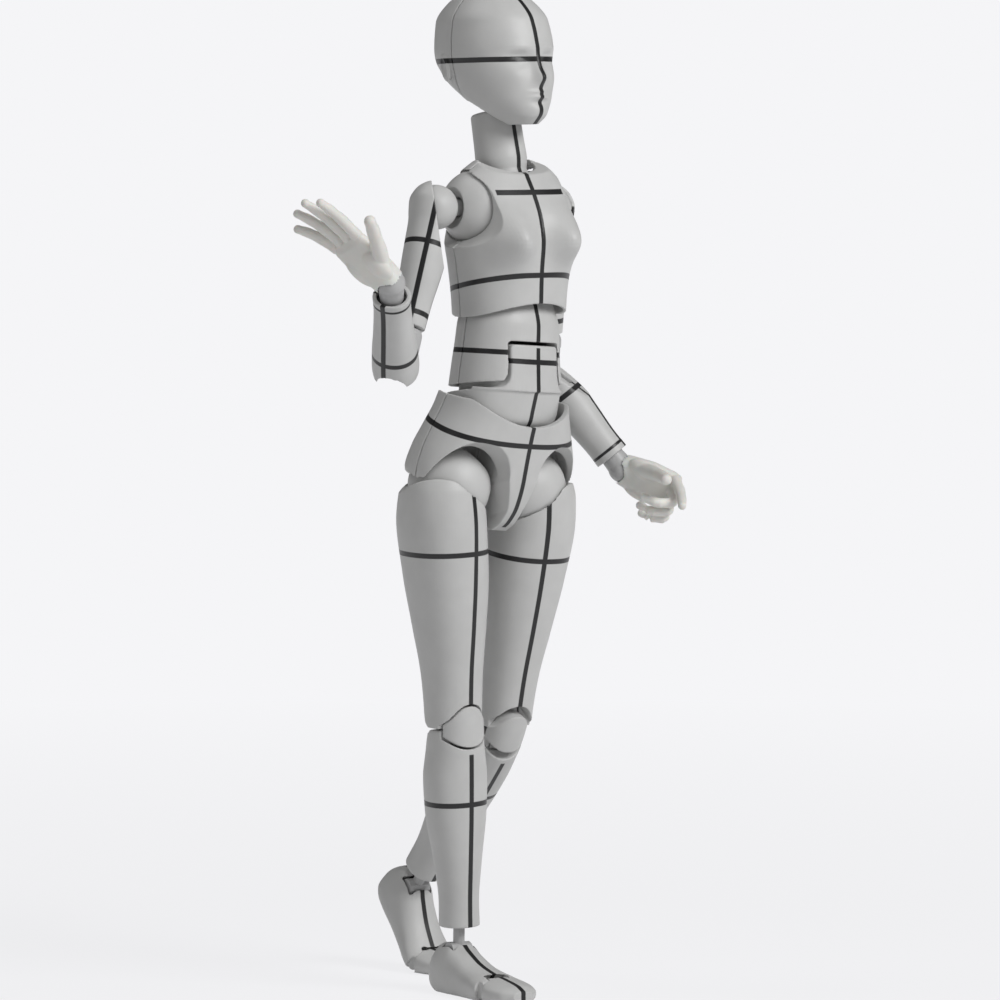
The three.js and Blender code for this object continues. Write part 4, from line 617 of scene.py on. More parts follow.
def thigh_piece():
    """Its rim is an arch that faces forwards and a little outwards."""
    x, y, z = HIP_X, HIP_Y, HIP
    radius, sideways = 7.4, Vector((0.832, 0.555, 0))
    low = Vector((x + 1.4, y, z + 1.5 - radius)) + sideways * 0.3
    ahead = Vector((0.555, -0.832, 0)) * 30
    over = beyond(low, (0, 0, 1)).cut(rod(low - ahead, low + ahead, radius, sides=160))
    form = shaped(THIGH_FORM, KNEE_MID, z + 2, THIGH_WIDE, THIGH_FORE, THIGH_AFT, x, y)
    front = beyond((0, y - THIGH_FORE, z + 1.9), tipped(-8))
    inside = beyond((x - 1.5, 0, z + 1.2), (-0.91, 0, 0.42))
    return loft(form, 2.2).cut(over, front, inside, ball((x, y, z), HIP_BALL + RUN),
                               post(x, y, z, z - 10.3, 1.85), *knee_room(KNEE_HIGH, 1))


def knee_link():
    x, y, half = HIP_X, KNEE_Y, KNEE_PLATE / 2
    wide, eye = KNEE_WIDE / 2, 1.6
    form = loft([
        [KNEE_LOW - 2, wide - 0.2, KNEE_DEEP - 0.3, 2, x, y], [KNEE_MID, wide - 0.1, KNEE_DEEP, 2, x, y],
        [KNEE_HIGH + 2, wide - 0.2, KNEE_DEEP - 0.2, 2, x, y]], 2.2)
    link = form.keep(knee_cap_outline(0)).add(
        block((x - half, y - CAP_INNER - 0.4, KNEE_LOW), (x + half, y + eye, KNEE_HIGH)))
    return with_eyes(link, x, y, half, (KNEE_LOW, KNEE_HIGH), eye, KNEE_PIN)


SHIN_FORM = [
    [0, 0.64, 0.68, 0.6], [0.12, 0.62, 0.7, 0.6], [0.33, 0.75, 0.8, 0.74], [0.58, 0.96, 0.92, 0.98],
    [0.74, 1, 0.97, 1], [0.9, 0.9, 1, 0.87], [1, 0.87, 1, 0.8],
]
SHIN_WIDE, SHIN_FORE, SHIN_AFT = 8.4, 3.9, 4.7


def shin_piece():
    x, y, bottom = HIP_X, KNEE_Y, ANKLE + 3.4
    form = shaped(SHIN_FORM, bottom, KNEE_MID, SHIN_WIDE, SHIN_FORE, SHIN_AFT, x, y)
    return loft(form, 2.15).cut(
        *knee_room(KNEE_LOW, -1), ball((x, y, ANKLE + ANKLE_BALL), 1.9),
        post(x, y, bottom - 1, ANKLE + 4.4, 1.4))


# [share of the length, half width, depths of sole and instep, height of their middle]
FOOT_FORM = [
    [0, 0.4, 1.4, 2, 2.2], [0.04, 0.66, 2.2, 3.6, 2], [0.13, 0.8, 2.6, 4.9, 1.9],
    [0.24, 0.84, 2.6, 5.1, 1.9], [0.34, 0.83, 2.5, 4, 1.8], [0.5, 0.88, 2.3, 2.6, 1.6],
    [0.66, 1, 2, 1.85, 1.5], [0.8, 0.99, 1.8, 1.5, 1.4], [0.93, 0.8, 1.5, 1.1, 1.3], [1, 0.4, 1, 0.6, 1.2],
]
FOOT_HALF, TOE_KNUCKLE = 3.7, 1.3


def foot_whole():
    """The foot with its toes, drawn upright from the heel and then laid down."""
    sections = [[share * FOOT_LONG, FOOT_HALF * wide, down, up, HIP_X, height]
                for share, wide, down, up, height in FOOT_FORM]
    form = loft(sections, 2.4).placed(Matrix.Translation((0, HEEL_Y, 0)) @ rotation(90, "X"))
    return form.cut(beyond((0, 0, 0), (0, 0, -1)))


def foot_piece():
    x, y, z = TOE
    front = beyond((0, y, 0), (0, -1, 0)).cut(across(x, y, z, 3, TOE_KNUCKLE))
    half, barrel = 1.75, 1.5
    room = block((x - half, y - 2.3, -1), (x + half, y, 5.2)).add(across(x, y, z, half, 1.85))
    return foot_whole().cut(
        front, room, across(x, KNEE_Y, ANKLE, 1.85, barrel),
        block((x - 1.2, KNEE_Y - 2.6, ANKLE + 0.9), (x + 1.2, KNEE_Y + 2.6, ANKLE + 4)),
        across(x, y, z, 2.66, TOE_PIN))


def toe_piece():
    x, y, z = TOE
    room = beyond((0, y, 0), (0, 1, 0)).add(across(x, y, z, 5, 1.6))
    half = 1.5
    tongue = across(x, y, z, half, TOE_KNUCKLE).add(
        block((x - half, y - 2.3, z - 0.9), (x + half, y, z + 0.9)))
    return foot_whole().cut(room).add(tongue).cut(across(x, y, z, 3, TOE_PIN))


# Shoulders and arms: the insert, its socket for the arm, the swivel's ball, and the arm's dome
INSERT_BALL, ARM_SOCKET, SWIVEL_BALL, ARM_DOME = 5.25, 3.8, 3.0, 3.6


def shoulder_insert():
    x, y, z = PIVOT_X, NECK_Y, SHOULDER
    front, back = radians(80), radians(50)
    thin, tall = 0.5, 1.15
    eye = rod((x, y - thin, z), (x, y + thin, z), tall).add(
        block((x, y - thin, z - tall), (x + 2.5, y + thin, z + tall)))
    return ball((x, y, z), INSERT_BALL).cut(
        beyond((x, y, z), (-sin(front), -cos(front), 0)),
        beyond((x, y, z), (-sin(back), cos(back), 0)),
        post(x, y, z - FAR / 2, z + FAR / 2, 1.8)).add(eye).cut(
        ball((ARM_X, y, z), ARM_SOCKET), rod((6.45, y, z), (FAR, y, z), 1.35))


def shoulder_swivel():
    x, y, z = ARM_X, NECK_Y, SHOULDER
    return ball((x, y, z), SWIVEL_BALL).add(rod((6.7, y, z), (x, y, z), 1.1))


UPPER_ARM_FORM = [
    [0, 0.75, 0.75, 0.75], [0.25, 0.8, 0.82, 0.82], [0.55, 0.93, 0.97, 0.97], [0.8, 1, 1.03, 1.03],
    [1, 1.05, 1.06, 1.06],
]
ARM_WIDE, FOREARM_WIDE = 5.9, 6.2


def upper_arm():
    """A domed shell, cut open towards the chest and the front, round the swivel's ball."""
    x, y, z, dome = ARM_X, NECK_Y, SHOULDER, ARM_DOME
    rim, tilt, turn = ELBOW_HIGH + 3.6, radians(20), radians(38)
    normal = (-cos(tilt) * cos(turn), -cos(tilt) * sin(turn), sin(tilt))
    rows = shaped(UPPER_ARM_FORM, rim, z - dome * 0.75, ARM_WIDE, ARM_WIDE / 2, ARM_WIDE / 2, x, y)
    for degrees in (-20, 5, 30, 55, 75, 86):
        a = radians(degrees)
        rows.append([z + dome * sin(a)] + [dome * cos(a)] * 3 + [x, y])
    return loft(rows, 2.05).cut(
        beyond((x, y, z), normal), ball((x, y, z), 3.12),
        post(x, y, rim - 1, rim + 5.3, 1.15))


ELBOW_WIDE, ELBOW_PLATE, ELBOW_INNER = 4.2, 1.3, 1.45


def elbow_cap_outline(extra):
    wide, up, down = 1.7 + extra, 3 + extra, 1.7 + extra
    outline = [(ARM_X + wide * cos(a), ELBOW_MID + (up if a < pi else down) * sin(a))
               for a in around(48)]
    return pushed_through(outline, NECK_Y + ELBOW_INNER - extra, FAR / 2)


def elbow_room(pin, up):
    cuts = hinge_room(ARM_X, NECK_Y, pin, up, -1, ELBOW_SPACING, ELBOW_PLATE, 1.5, (0, 37.5, 75))
    return cuts + [elbow_cap_outline(RUN), across(ARM_X, NECK_Y, pin, ELBOW_WIDE / 2 - 0.5, ELBOW_PIN)]


def elbow_swivel():
    x, y, half = ARM_X, NECK_Y, ELBOW_WIDE / 2
    top = ELBOW_HIGH + 3.3
    return loft([
        [ELBOW_MID, half, half, half, x, y], [ELBOW_HIGH, half, half, half, x, y],
        [top - 0.7, half, half, half, x, y], [top, half - 0.25, half - 0.25, half - 0.25, x, y]], 2).cut(
        *elbow_room(ELBOW_HIGH, 1)).add(post(x, y, top - 0.6, top + 5, 0.9))


def elbow_link():
    x, y, half, wide, eye = ARM_X, NECK_Y, ELBOW_PLATE / 2, ELBOW_WIDE / 2, 1.2
    form = loft([[ELBOW_LOW - 1.6, wide - 0.2, 1, wide + 0.1, x, y], [ELBOW_MID, wide, 1, wide + 0.5, x, y],
                 [ELBOW_HIGH + 1.6, wide - 0.2, 1, wide + 0.1, x, y]], 2)
    link = form.keep(elbow_cap_outline(0)).add(
        block((x - half, y - eye, ELBOW_LOW), (x + half, y + ELBOW_INNER + 0.3, ELBOW_HIGH)))
    return with_eyes(link, x, y, half, (ELBOW_LOW, ELBOW_HIGH), eye, ELBOW_PIN)


FOREARM_FORM = [
    [0, 0.81, 0.78, 0.78], [0.12, 0.79, 0.76, 0.76], [0.4, 0.86, 0.85, 0.85], [0.65, 0.97, 0.95, 0.97],
    [0.82, 1, 1, 1.02], [0.94, 0.93, 0.93, 1], [1, 0.8, 0.78, 0.9],
]
WRIST_RIM = WRIST + 2.2


def forearm():
    x, y, rim = ARM_X, NECK_Y, WRIST_RIM
    half = FOREARM_WIDE / 2
    form = shaped(FOREARM_FORM, rim, ELBOW_MID + 1.2, FOREARM_WIDE, half, half, x, y)
    return loft(form, 2.15).cut(
        *elbow_room(ELBOW_LOW, -1), post(x, y, rim - 1, rim + 1, 2),
        post(x, y, rim, rim + 4.7, 1.1))


def wrist_peg():
    x, y, rim = ARM_X, NECK_Y, WRIST_RIM
    return ball((x, y, WRIST), 1.9).add(
        post(x, y, WRIST + 0.9, rim + 0.7, 1.7, 1.55), post(x, y, WRIST, rim + 4.4, 0.85))


# Hands
HAND_LONG = 16.4


def tube(places, sides=20):
    """A tapering tube through (point, radius) places, rounded at its far end."""
    points = [np.array(point) for point, _ in places]
    radii = [radius for _, radius in places]
    rings = []
    for k, point in enumerate(points):
        ahead = Vector(points[min(k + 1, len(points) - 1)] - points[max(k - 1, 0)]).normalized()
        turn = np.array(Vector((0, 0, -1)).rotation_difference(ahead).to_matrix())
        rings.append(circle(radii[k], 0, sides) * [1, -1, 1] @ turn.T + point)
    return Solid(np.concatenate(rings), skin(len(points), sides))


def finger_places(knuckle, lengths, width, curls, spread):
    """Fine places along bent bones, with slightly fuller knuckles and a round tip."""
    bones, place, curl = [], np.array(knuckle, float), 0
    for length, bend in zip(lengths, curls):
        curl += bend
        c, s = radians(curl), radians(spread)
        step = np.array([-sin(c) * cos(s), -sin(s), -cos(c) * cos(s)])
        bones.append((place.copy(), step, length))
        place = place + step * length
    places = []
    for k, (start, step, length) in enumerate(bones):
        for share in (0.14, 0.5, 0.86):
            taper = 0.5 * (1 - 0.11 * (k + share))
            swell = 1.05 if share != 0.5 else 0.97
            places.append((start + step * length * share, width * taper * swell))
    tip, step, reach = place, bones[-1][1], places[-1][1]
    start = tip - step * reach * 0.9
    places[-1] = (bones[-1][0] + step * (bones[-1][2] - reach) * 0.9, reach)
    for share in (0, 0.45, 0.75, 0.93, 1):
        places.append((start + step * reach * 0.9 * share, max(reach * sqrt(max(1 - share**2, 0)), 0.06)))
    # A hair's shift from place to place, so that a straight finger has no edges in one line
    return [(place + np.array([1e-5 * i, 0, 0]), radius) for i, (place, radius) in enumerate(places)]


def hand_piece(curls, spreads, thumb_curls, thumb_angle):
    """A flat palm with four fingers, a thumb, the fuller parts of its heel, and the wrist's socket."""
    x, y, palm = ARM_X, NECK_Y, HAND_LONG / 2
    knuckle, half, thick = WRIST - palm, 3, 1.35
    hand = loft([
        [knuckle - 0.2, thick * 0.6, half * 0.96, half * 0.93, x, y],
        [knuckle + 1, thick * 0.95, half * 1.02, half, x, y],
        [WRIST - palm * 0.55, thick * 1.12, half * 1.03, half * 0.98, x - 0.1, y],
        [WRIST - palm * 0.28, thick * 1.3, half * 0.88, half * 0.82, x - 0.05, y],
        [WRIST - 0.3, 1.85, half * 0.72, half * 0.72, x, y],
        [WRIST + 0.1, 1.8, half * 0.68, half * 0.68, x, y]],
        2.3, sides=64)
    for root, reach, curl, spread in zip((-2.2, -0.72, 0.76, 2.15), (0.9, 1.0, 0.94, 0.76), curls, spreads):
        bones = [palm * reach * share for share in (0.5, 0.32, 0.3)]
        hand = hand.add(tube(finger_places((x, y + root, knuckle + 0.7), bones, 1.62, curl, spread)))
    thumb_root = (x - 0.3, y - half * 0.42, WRIST - palm * 0.24)
    thumb = finger_places(thumb_root, (4.2, 3.4, 2.7), 2.2, thumb_curls, thumb_angle)
    hand = hand.add(tube(thumb), ball((x - 0.85, y - 1.75, WRIST - palm * 0.42), 1, (1.1, 1.55, 2.6)),
                    ball((x - 0.75, y + 1.6, WRIST - palm * 0.46), 1, (1, 1.2, 2.7)))
    return hand.cut(ball((x, y, WRIST), 2.05))


# Bends and spreads of the four fingers, from the forefinger on, then the thumb's bends and its spread
OPEN_HAND = ([[4, 8, 6], [2, 8, 6], [3, 9, 7], [6, 10, 8]], [9, 3, -3, -10], [4, 4, 4], 40)
RELAXED_HAND = ([[54, 6, 4], [62, 68, 44], [66, 74, 46], [70, 76, 46]], [4, 1, -2, -5], [34, 14, 8], 24)

# Pose: (joint, pivot, axis, degrees) from the pelvis up, each joint carried by the one before
TORSO_POSE = [
    ("waist_twist", WAIST_AT, (0, 0, 1), 4), ("waist_bend", WAIST_AT, (1, 0, 0), -6.5),
    ("abdomen_bend", MIDDLE_AT, (1, 0, 0), -1), ("chest_tilt", CHEST_AT, (0, 1, 0), -4),
    ("chest_twist", CHEST_AT, (0, 0, 1), -5), ("neck_turn", NECK_AT, (0, 0, 1), 4.5),
    ("neck_bend", NECK_AT, (1, 0, 0), -12), ("head_turn", HEAD_AT, (0, 0, 1), 0),
    ("head_nod", HEAD_AT, (1, 0, 0), 10),
]
# Degrees of the joints in arm_joints and leg_joints
ARM_ANGLES = {
    "right": (3, 1.5, 8.5, 19, 44.5, 46.5, 71, -98.5, -48),
    "left": (28.5, -2.5, -4, 9, 11.5, 20.5, 20.5, -18, -30),
}
LEG_ANGLES = {"right": (6, -7.5, 5.5, 0, 0, -2.5, -1.5, 0), "left": (1, 4, -2.5, 16, 14.5, -2, 9.5, 48)}


def arm_joints(side):
    """(joint, pivot on the left side, axis) from the chest down."""
    pivot = (PIVOT_X, NECK_Y, SHOULDER)
    shoulder, high, low, wrist = [(ARM_X, NECK_Y, z) for z in (SHOULDER, ELBOW_HIGH, ELBOW_LOW, WRIST)]
    return [("shoulder_swing", pivot, (0, 0, side)), ("shoulder_shrug", pivot, (0, -side, 0)),
            ("arm_swing", shoulder, (-1, 0, 0)), ("arm_raise", shoulder, (0, -side, 0)),
            ("arm_twist", high, (0, 0, side)), ("elbow_upper", high, (-1, 0, 0)),
            ("elbow_lower", low, (-1, 0, 0)), ("wrist_twist", wrist, (0, 0, side)),
            ("wrist_tilt", wrist, (side, 0, 0))]


def leg_joints(side):
    hip = (HIP_X, HIP_Y, HIP)
    return [("hip_swing", hip, (side, 0, 0)), ("hip_spread", hip, (0, -side, 0)),
            ("thigh_twist", hip, (0, 0, side)), ("knee_upper", (HIP_X, KNEE_Y, KNEE_HIGH), (1, 0, 0)),
            ("knee_lower", (HIP_X, KNEE_Y, KNEE_LOW), (1, 0, 0)),
            ("ankle_roll", (HIP_X, KNEE_Y, ANKLE + ANKLE_BALL), (0, side, 0)),
            ("ankle_pitch", (HIP_X, KNEE_Y, ANKLE), (1, 0, 0)), ("toe_bend", TOE, (-1, 0, 0))]


def turned_about(pivot, axis, degrees):
    pivot = Vector(pivot)
    return Matrix.Translation(pivot) @ rotation(degrees, Vector(axis)) @ Matrix.Translation(-pivot)


def follow(places, side_name, joints, angles, parent):
    side = 1 if side_name == "left" else -1
    for (name, (px, py, pz), axis), degrees in zip(joints, angles):
        key = f"{side_name}_{name}"
        places[key] = places[parent] @ turned_about((side * px, py, pz), axis, degrees)
        parent = key


def left_leg(places, swing):
    """Levels the left toe for one swing of the hip, and returns the height of its sole."""
    angles = list(LEG_ANGLES["left"])
    angles[0] = swing
    follow(places, "left", leg_joints(1), angles, "pelvis")
    up = places["left_knee_lower"].to_3x3().inverted() @ Vector((0, 0, 1))
    angles[5] = degrees_of(atan2(up.x, up.z))
    angles[7] = angles[6] + degrees_of(asin(up.y))
    follow(places, "left", leg_joints(1), angles, "pelvis")
    return (places["left_toe_bend"] @ Vector((HIP_X, TOE[1] - 1, 0))).z


def pose():
    """Where each joint's piece goes: the right foot stands level, and the left toe is set down beside it."""
    places = {"pelvis": Matrix.Identity(4)}
    follow(places, "right", leg_joints(-1), LEG_ANGLES["right"], "pelvis")
    places["pelvis"] = (places["right_ankle_pitch"] @ Matrix.Translation((-HIP_X, 0, 0))).inverted()
    follow(places, "right", leg_joints(-1), LEG_ANGLES["right"], "pelvis")
    low, high = LEG_ANGLES["left"][0] - 4, LEG_ANGLES["left"][0] + 4
    low_is_above = left_leg(places, low) > 0
    for _ in range(50):
        middle = (low + high) / 2
        if (left_leg(places, middle) > 0) == low_is_above:
            low = middle
        else:
            high = middle
    left_leg(places, low)
    parent = "pelvis"
    for name, pivot, axis, degrees in TORSO_POSE:
        places[name] = places[parent] @ turned_about(pivot, axis, degrees)
        parent = name
    for side_name, side in (("right", -1), ("left", 1)):
        follow(places, side_name, arm_joints(side), ARM_ANGLES[side_name], "chest_twist")
    return places


PLACES = pose()


# Materials. Each piece keeps its neutral place in the attribute "drawn", in millimetres, so that the printed
# lines and the grain stay on it in any pose. Right-hand pieces keep their left-hand twins' places.
class Nodes:
    """The nodes of a material or a world."""

    def __init__(self, owner):
        owner.use_nodes = True
        self.tree = owner.node_tree

    def make(self, kind, inputs=None, **values):
        node = self.tree.nodes.new("ShaderNode" + kind)
        for key, value in values.items():
            setattr(node, key, value)
        for key, value in (inputs or {}).items():
            self.feed(node.inputs[key], value)
        return node

    def feed(self, socket, value):
        if isinstance(value, bpy.types.NodeSocket):
            self.tree.links.new(value, socket)
        else:
            socket.default_value = value

    def math(self, operation, a, b=0.0, c=0.0):
        return self.make("Math", {0: a, 1: b, 2: c}, operation=operation).outputs[0]

    def dot(self, vector, direction):
        node = self.make("VectorMath", {0: vector, 1: direction}, operation="DOT_PRODUCT")
        return node.outputs["Value"]

    def stretch(self, value, low, high, to_low, to_high, **values):
        """A value between low and high, stretched to lie between to_low and to_high."""
        inputs = {"Value": value, 1: low, 2: high, 3: to_low, 4: to_high}
        return self.make("MapRange", inputs, **values).outputs["Result"]

    def show(self, output, first, second, share):
        """Ends in a mix of two shaders."""
        mix = self.make("MixShader", {0: share, 1: first, 2: second})
        self.feed(self.tree.nodes[output].inputs["Surface"], mix.outputs[0])

    def within(self, value, low, high, soft):
        """1 between low and high, falling to 0 over a soft edge."""
        middle, half = (low + high) / 2, (high - low) / 2
        away = self.math("ABSOLUTE", self.math("SUBTRACT", value, middle))
        return self.stretch(away, half - soft, half + soft, 1.0, 0.0, interpolation_type="SMOOTHSTEP")


def srgb(*levels):
    """A screen colour of levels up to 255 as linear light."""
    shares = [level / 255 for level in levels]
    return tuple(s / 12.92 if s <= 0.04045 else ((s + 0.055) / 1.055) ** 2.4 for s in shares) + (1,)


LINE_HALF = 0.35
SHELL = srgb(200, 200, 199)
JOINT = srgb(184, 184, 184)
SKIN = srgb(232, 231, 226)
INK = srgb(10, 10, 12)
GROUND = srgb(245, 245, 247)


def level(z, half=LINE_HALF, tip=(0, 0), window=()):
    """A ring round a limb at one height, tipped by slopes in x and y."""
    return {"normal": (tip[0], tip[1], 1), "offset": z, "half": half, "window": window}


def uprights(x, y, azimuths, low, high, half=LINE_HALF):
    """Lines down a limb: azimuth 0 is its front, 90 its outer side."""
    lines = []
    for azimuth in azimuths:
        ux, uy = sin(radians(azimuth)), -cos(radians(azimuth))
        lines.append({"normal": (-uy, ux, 0), "offset": -uy * x + ux * y, "half": half,
                      "window": [((ux, uy, 0), ux * x + uy * y, FAR), ((0, 0, 1), low, high)]})
    return lines


def plastic(name, colour, lines=(), roughness=0.46, grain=0.012, soft=0.0):
    """Satin plastic with a faint mottle and a fine grain, and with dark lines pressed a little into it."""
    material = bpy.data.materials.new(name)
    n = Nodes(material)
    shader = n.tree.nodes["Principled BSDF"]
    place = n.make("Attribute", attribute_name="drawn").outputs["Vector"]
    mottle = n.make("TexNoise", {"Vector": place, "Scale": 0.35, "Detail": 3.0}).outputs["Fac"]
    fine_noise = {"Vector": place, "Scale": 9.0, "Detail": 4.0, "Roughness": 0.6}
    fine = n.make("TexNoise", fine_noise).outputs["Fac"]
    tint = n.stretch(mottle, 0.3, 0.7, 0.965, 1.02)
    grey = n.make("CombineColor", {0: tint, 1: tint, 2: tint}).outputs[0]
    colour = n.make("Mix", {0: 1.0, 6: colour, 7: (1, 1, 1, 1)}, data_type="RGBA",
                    blend_type="MULTIPLY")
    n.feed(colour.inputs[7], grey)
    colour = colour.outputs[2]
    mask = None
    for line in lines:
        along, middle, half = n.dot(place, line["normal"]), line["offset"], line["half"]
        stripe = n.within(along, middle - half, middle + half, 0.05)
        for direction, low, high in line["window"]:
            stripe = n.math("MULTIPLY", stripe, n.within(n.dot(place, direction), low, high, 0.06))
        mask = stripe if mask is None else n.math("MAXIMUM", mask, stripe)
    height = n.math("MULTIPLY", fine, grain)
    rough = n.stretch(fine, 0.25, 0.75, roughness - 0.05, roughness + 0.07)
    if mask is not None:
        ink = n.math("MULTIPLY", mask, n.stretch(fine, 0.2, 0.8, 1.0, 0.97))
        colour = n.make("Mix", {0: ink, 6: colour, 7: INK}, data_type="RGBA").outputs[2]
        height = n.math("SUBTRACT", height, n.math("MULTIPLY", mask, 0.05))
        rough = n.math("SUBTRACT", rough, n.math("MULTIPLY", mask, 0.08))
    relief = n.make("Bump", {"Height": height, "Strength": 0.6, "Distance": MM}).outputs["Normal"]
    values = {"Base Color": colour, "Roughness": rough, "Normal": relief, "IOR": 1.47}
    if soft:
        values.update({"Subsurface Weight": soft, "Subsurface Scale": 1.2 * MM})
    for socket, value in values.items():
        n.feed(shader.inputs[socket], value)
    return material


def centre(low, high):
    """The line down the middle of the front and the back."""
    return [{"normal": (1, 0, 0), "offset": 0, "half": LINE_HALF, "window": [((0, 0, 1), low, high)]}]


IN_FRONT = ((0, -1, 0), 0, FAR)
LINES = {
    "head": centre(CHIN - 3, CHIN + HEAD_TALL + 1) + [level(CHIN + HEAD_TALL * 0.47)],
    "neck": uprights(0, NECK_Y, [0], NECK - 2, HEAD),
    "chest": centre(CHEST - 4, NECK + 3) + [level(CHEST + 2.5, tip=(0, 0.2)), level(
        SHOULDER + 2.2, window=[IN_FRONT, ((1, 0, 0), -5.6, 5.6)])],
    "upper_abdomen": centre(MIDDLE - 5, CHEST + 1) + [level(MIDDLE + 1.1)],
    "lower_abdomen": centre(WAIST - 5, MIDDLE + 2) + [level(MIDDLE + 0.1, window=[IN_FRONT])],
    "pelvis": centre(HIP - 4.6, WAIST + 1) + [level(WAIST - 2.6, tip=(0, -0.18))],
    "thigh": uprights(HIP_X, HIP_Y, (0, 180), KNEE_LOW, HIP + 4) + [level(HIP - 8.7)],
    "shin": uprights(HIP_X, HIP_Y, (0, 180), ANKLE, KNEE_LOW - 1.2) + [level(KNEE_LOW - 8)],
    "foot": uprights(HIP_X, 30, [0], -1, 30),
    "upper_arm": uprights(ARM_X, NECK_Y, [33], ELBOW_HIGH, SHOULDER + 2)
    + uprights(ARM_X, NECK_Y, [-50], ELBOW_HIGH, SHOULDER - 5, 0.14)
    + [level(SHOULDER - 5.6), level(ELBOW_HIGH + 5.4)],
    "forearm": uprights(ARM_X, NECK_Y, (0, 165), WRIST, ELBOW_LOW + 4)
    + uprights(ARM_X, NECK_Y, [90], WRIST, ELBOW_LOW + 4, 0.14)
    + [level(WRIST + 3.2, 0.2), level(ELBOW_LOW - 2.4)],
    "insert": [],
}
MATERIALS = {name: plastic(name + "_shell", SHELL, lines) for name, lines in LINES.items()}
MATERIALS["joint"] = plastic("joint_plastic_fine", JOINT, roughness=0.4)
MATERIALS["hand"] = plastic("hand_plastic_soft", SKIN, roughness=0.52, soft=0.12)


def make_object(name, solid, place, material):
    mesh = mesh_of(name, solid)
    neutral = solid.points.copy()
    if name.startswith("right_"):
        neutral = neutral * [-1, 1, 1]
    mesh.attributes.new("drawn", "FLOAT_VECTOR", "POINT").data.foreach_set("vector", neutral.ravel())
    turn = np.array(place.to_3x3())
    posed = (solid.points @ turn.T + np.array(place.translation)) * MM
    mesh.vertices.foreach_set("co", posed.ravel())
    mesh.update()
    mesh.shade_smooth()
    mesh.set_sharp_from_angle(angle=radians(32))
    mesh.materials.append(material)
    return linked(name, mesh)


BODY_OF = {node: body for body, nodes in frame["record"]["behaviour"]["bodies"].items() for node in nodes}


def put(node, joint, solid, material):
    obj = make_object(node + "_skin", solid, PLACES[joint], MATERIALS[material])
    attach(obj, BODY_OF[node])
    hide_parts(node)
    low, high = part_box(node)
    points = points_of(obj.data)
    drift = max(np.abs(points.min(axis=0) - np.array(low)).max(),
                np.abs(points.max(axis=0) - np.array(high)).max())
    if drift > 0.5 * MM:
        print("away from its node:", node, round(drift / MM, 2), "mm")


def put_torso():
    for name, joint, pieces in (("head", "head_nod", head_halves()), ("chest", "chest_twist", chest_halves()),
                                ("upper_abdomen", "abdomen_bend", upper_abdomen_halves()),
                                ("pelvis", "pelvis", pelvis_halves())):
        for end, piece in zip(("_front", "_back"), pieces):
            put(name + end, joint, moulded(piece, 0.12), name)
    put("neck", "neck_bend", moulded(neck_piece(), 0.12), "neck")
    put("lower_abdomen", "waist_bend", moulded(lower_abdomen(), 0.15), "lower_abdomen")


# Pieces of a limb: (node, joint it moves with, maker, material, voxel)
LIMB_PIECES = [
    ("thigh", "thigh_twist", thigh_piece, "thigh", 0.1),
    ("hip_insert", "hip_spread", hip_insert, "insert", 0.15),
    ("knee_link", "knee_upper", knee_link, "insert", 0.1),
    ("shin", "knee_lower", shin_piece, "shin", 0.14),
    ("foot", "ankle_pitch", foot_piece, "foot", 0.12),
    ("toe", "toe_bend", toe_piece, "foot", 0.1),
    ("shoulder_insert", "shoulder_shrug", shoulder_insert, "insert", 0.12),
    ("shoulder_swivel", "arm_swing", shoulder_swivel, "insert", 0.1),
    ("upper_arm", "arm_raise", upper_arm, "upper_arm", 0.12),
    ("elbow_swivel", "arm_twist", elbow_swivel, "joint", 0.09),
    ("elbow_link", "elbow_upper", elbow_link, "joint", 0.08),
    ("forearm", "elbow_lower", forearm, "forearm", 0.12),
    ("wrist_peg", "wrist_twist", wrist_peg, "joint", 0.08),
]


def put_limbs():
    for name, joint, maker, material, voxel in LIMB_PIECES:
        piece = moulded(maker(), voxel)
        put("left_" + name, "left_" + joint, piece, material)
        put("right_" + name, "right_" + joint, mirrored(piece), material)
    relaxed, open_hand = [moulded(hand_piece(*form), 0.09, 6) for form in (RELAXED_HAND, OPEN_HAND)]
    put("left_hand", "left_wrist_tilt", relaxed, "hand")
    put("right_hand", "right_wrist_tilt", mirrored(open_hand), "hand")


def dress_inner_nodes():
    """Pins, pegs and balls inside the joints keep their solids and get the joints' plastic."""
    finish = plastic("inner_joint_plastic", JOINT, roughness=0.4)
    for obj in frame["nodes"].values():
        obj.data.materials.clear()
        obj.data.materials.append(finish)


# Stage: a pale floor that keeps only a soft part of the shadow
def floor_material():
    """Diffuse near the figure, where its shadow falls, and the plain pale ground further out."""
    material = bpy.data.materials.new("pale_floor")
    n = Nodes(material)
    shader = n.tree.nodes["Principled BSDF"]
    shader.inputs["Base Color"].default_value = (0.9, 0.9, 0.91, 1)
    shader.inputs["Roughness"].default_value = 0.9
    glow = n.make("Emission", {"Color": GROUND, "Strength": 1.0})
    path = n.make("LightPath").outputs
    seen = n.math("MAXIMUM", path["Is Camera Ray"],
                  n.math("MAXIMUM", path["Is Glossy Ray"], path["Is Transmission Ray"]))
    place = n.make("NewGeometry").outputs["Position"]
    away = n.make("VectorMath", {0: place}, operation="LENGTH").outputs["Value"]
    plainness = n.stretch(away, 0.1, 0.4, 0.88, 1.0)
    n.show("Material Output", shader.outputs[0], glow.outputs[0], n.math("MULTIPLY", seen, plainness))
    return material


def make_floor():
    radius, depth = 3, -0.00002
    rim = [(radius * cos(a), radius * sin(a), depth) for a in around(96)]
    mesh = mesh_of("floor", Solid(rim, [range(len(rim))]))
    mesh.materials.append(floor_material())
    floor = linked("floor", mesh)


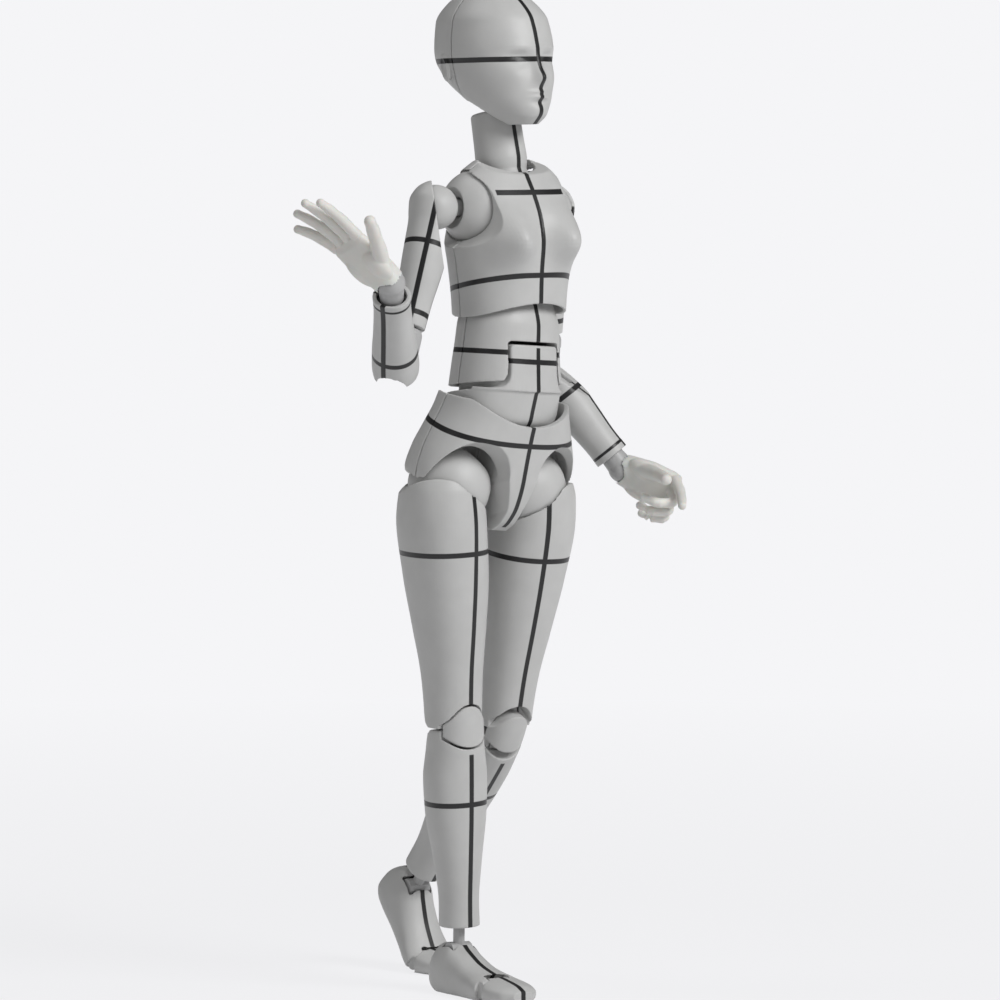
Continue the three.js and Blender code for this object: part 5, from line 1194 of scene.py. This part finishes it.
def area_light(name, place, target, size, power):
    data = bpy.data.lights.new(name, "AREA")
    data.shape, data.size, data.energy = "DISK", size, power
    light = linked(name, data)
    light.location = place
    light.rotation_euler = (target - place).to_track_quat("-Z", "Y").to_euler()


# The photograph's camera: degrees round the figure and up, metres away, millimetres of lens, and its aim
AZIMUTH, ELEVATION, DISTANCE, LENS = -33.683, 4.095, 1.0, 269.3
AIM_RIGHT, AIM_UP = 0.005431, 0.066258


def make_view():
    """The camera, and three lights placed to its right, to its left and overhead."""
    azimuth, elevation = radians(AZIMUTH), radians(ELEVATION)
    right, up = Vector((cos(azimuth), sin(azimuth), 0)), Vector((0, 0, 1))
    towards = Vector((sin(azimuth) * cos(elevation), -cos(azimuth) * cos(elevation), sin(elevation)))
    data = bpy.data.cameras.new("camera")
    data.sensor_width, data.lens, data.clip_start = 36, LENS, 0.05
    camera = linked("camera", data)
    camera.location = right * AIM_RIGHT + up * AIM_UP + towards * DISTANCE
    camera.rotation_euler = (-towards).to_track_quat("-Z", "Y").to_euler()
    scene.camera = camera
    nearer = Vector((towards.x, towards.y, 0)).normalized()
    middle = up * 0.075
    area_light("key", middle + right * 0.46 + nearer * 0.34 + up * 0.4, middle, 0.34, 3.3)
    area_light("fill", middle - right * 0.5 + nearer * 0.55 + up * 0.3, middle, 0.5, 0.45)
    area_light("rim", middle - right * 0.3 - nearer * 0.02 + up * 0.6, middle, 0.3, 0.7)


def make_world():
    """Faint even light, which the camera sees as the pale ground."""
    world = bpy.data.worlds.new("studio")
    scene.world = world
    n = Nodes(world)
    lit = n.tree.nodes["Background"]
    lit.inputs["Color"].default_value = (1, 1, 1, 1)
    lit.inputs["Strength"].default_value = 0.13
    seen = n.make("Background", {"Color": GROUND})
    path = n.make("LightPath").outputs
    direct = n.math("MAXIMUM", path["Is Camera Ray"], path["Is Transmission Ray"])
    n.show("World Output", lit.outputs[0], seen.outputs[0], direct)


dress_inner_nodes()
put_torso()
put_limbs()
make_world()
make_floor()
make_view()
scene.view_settings.view_transform = "Standard"
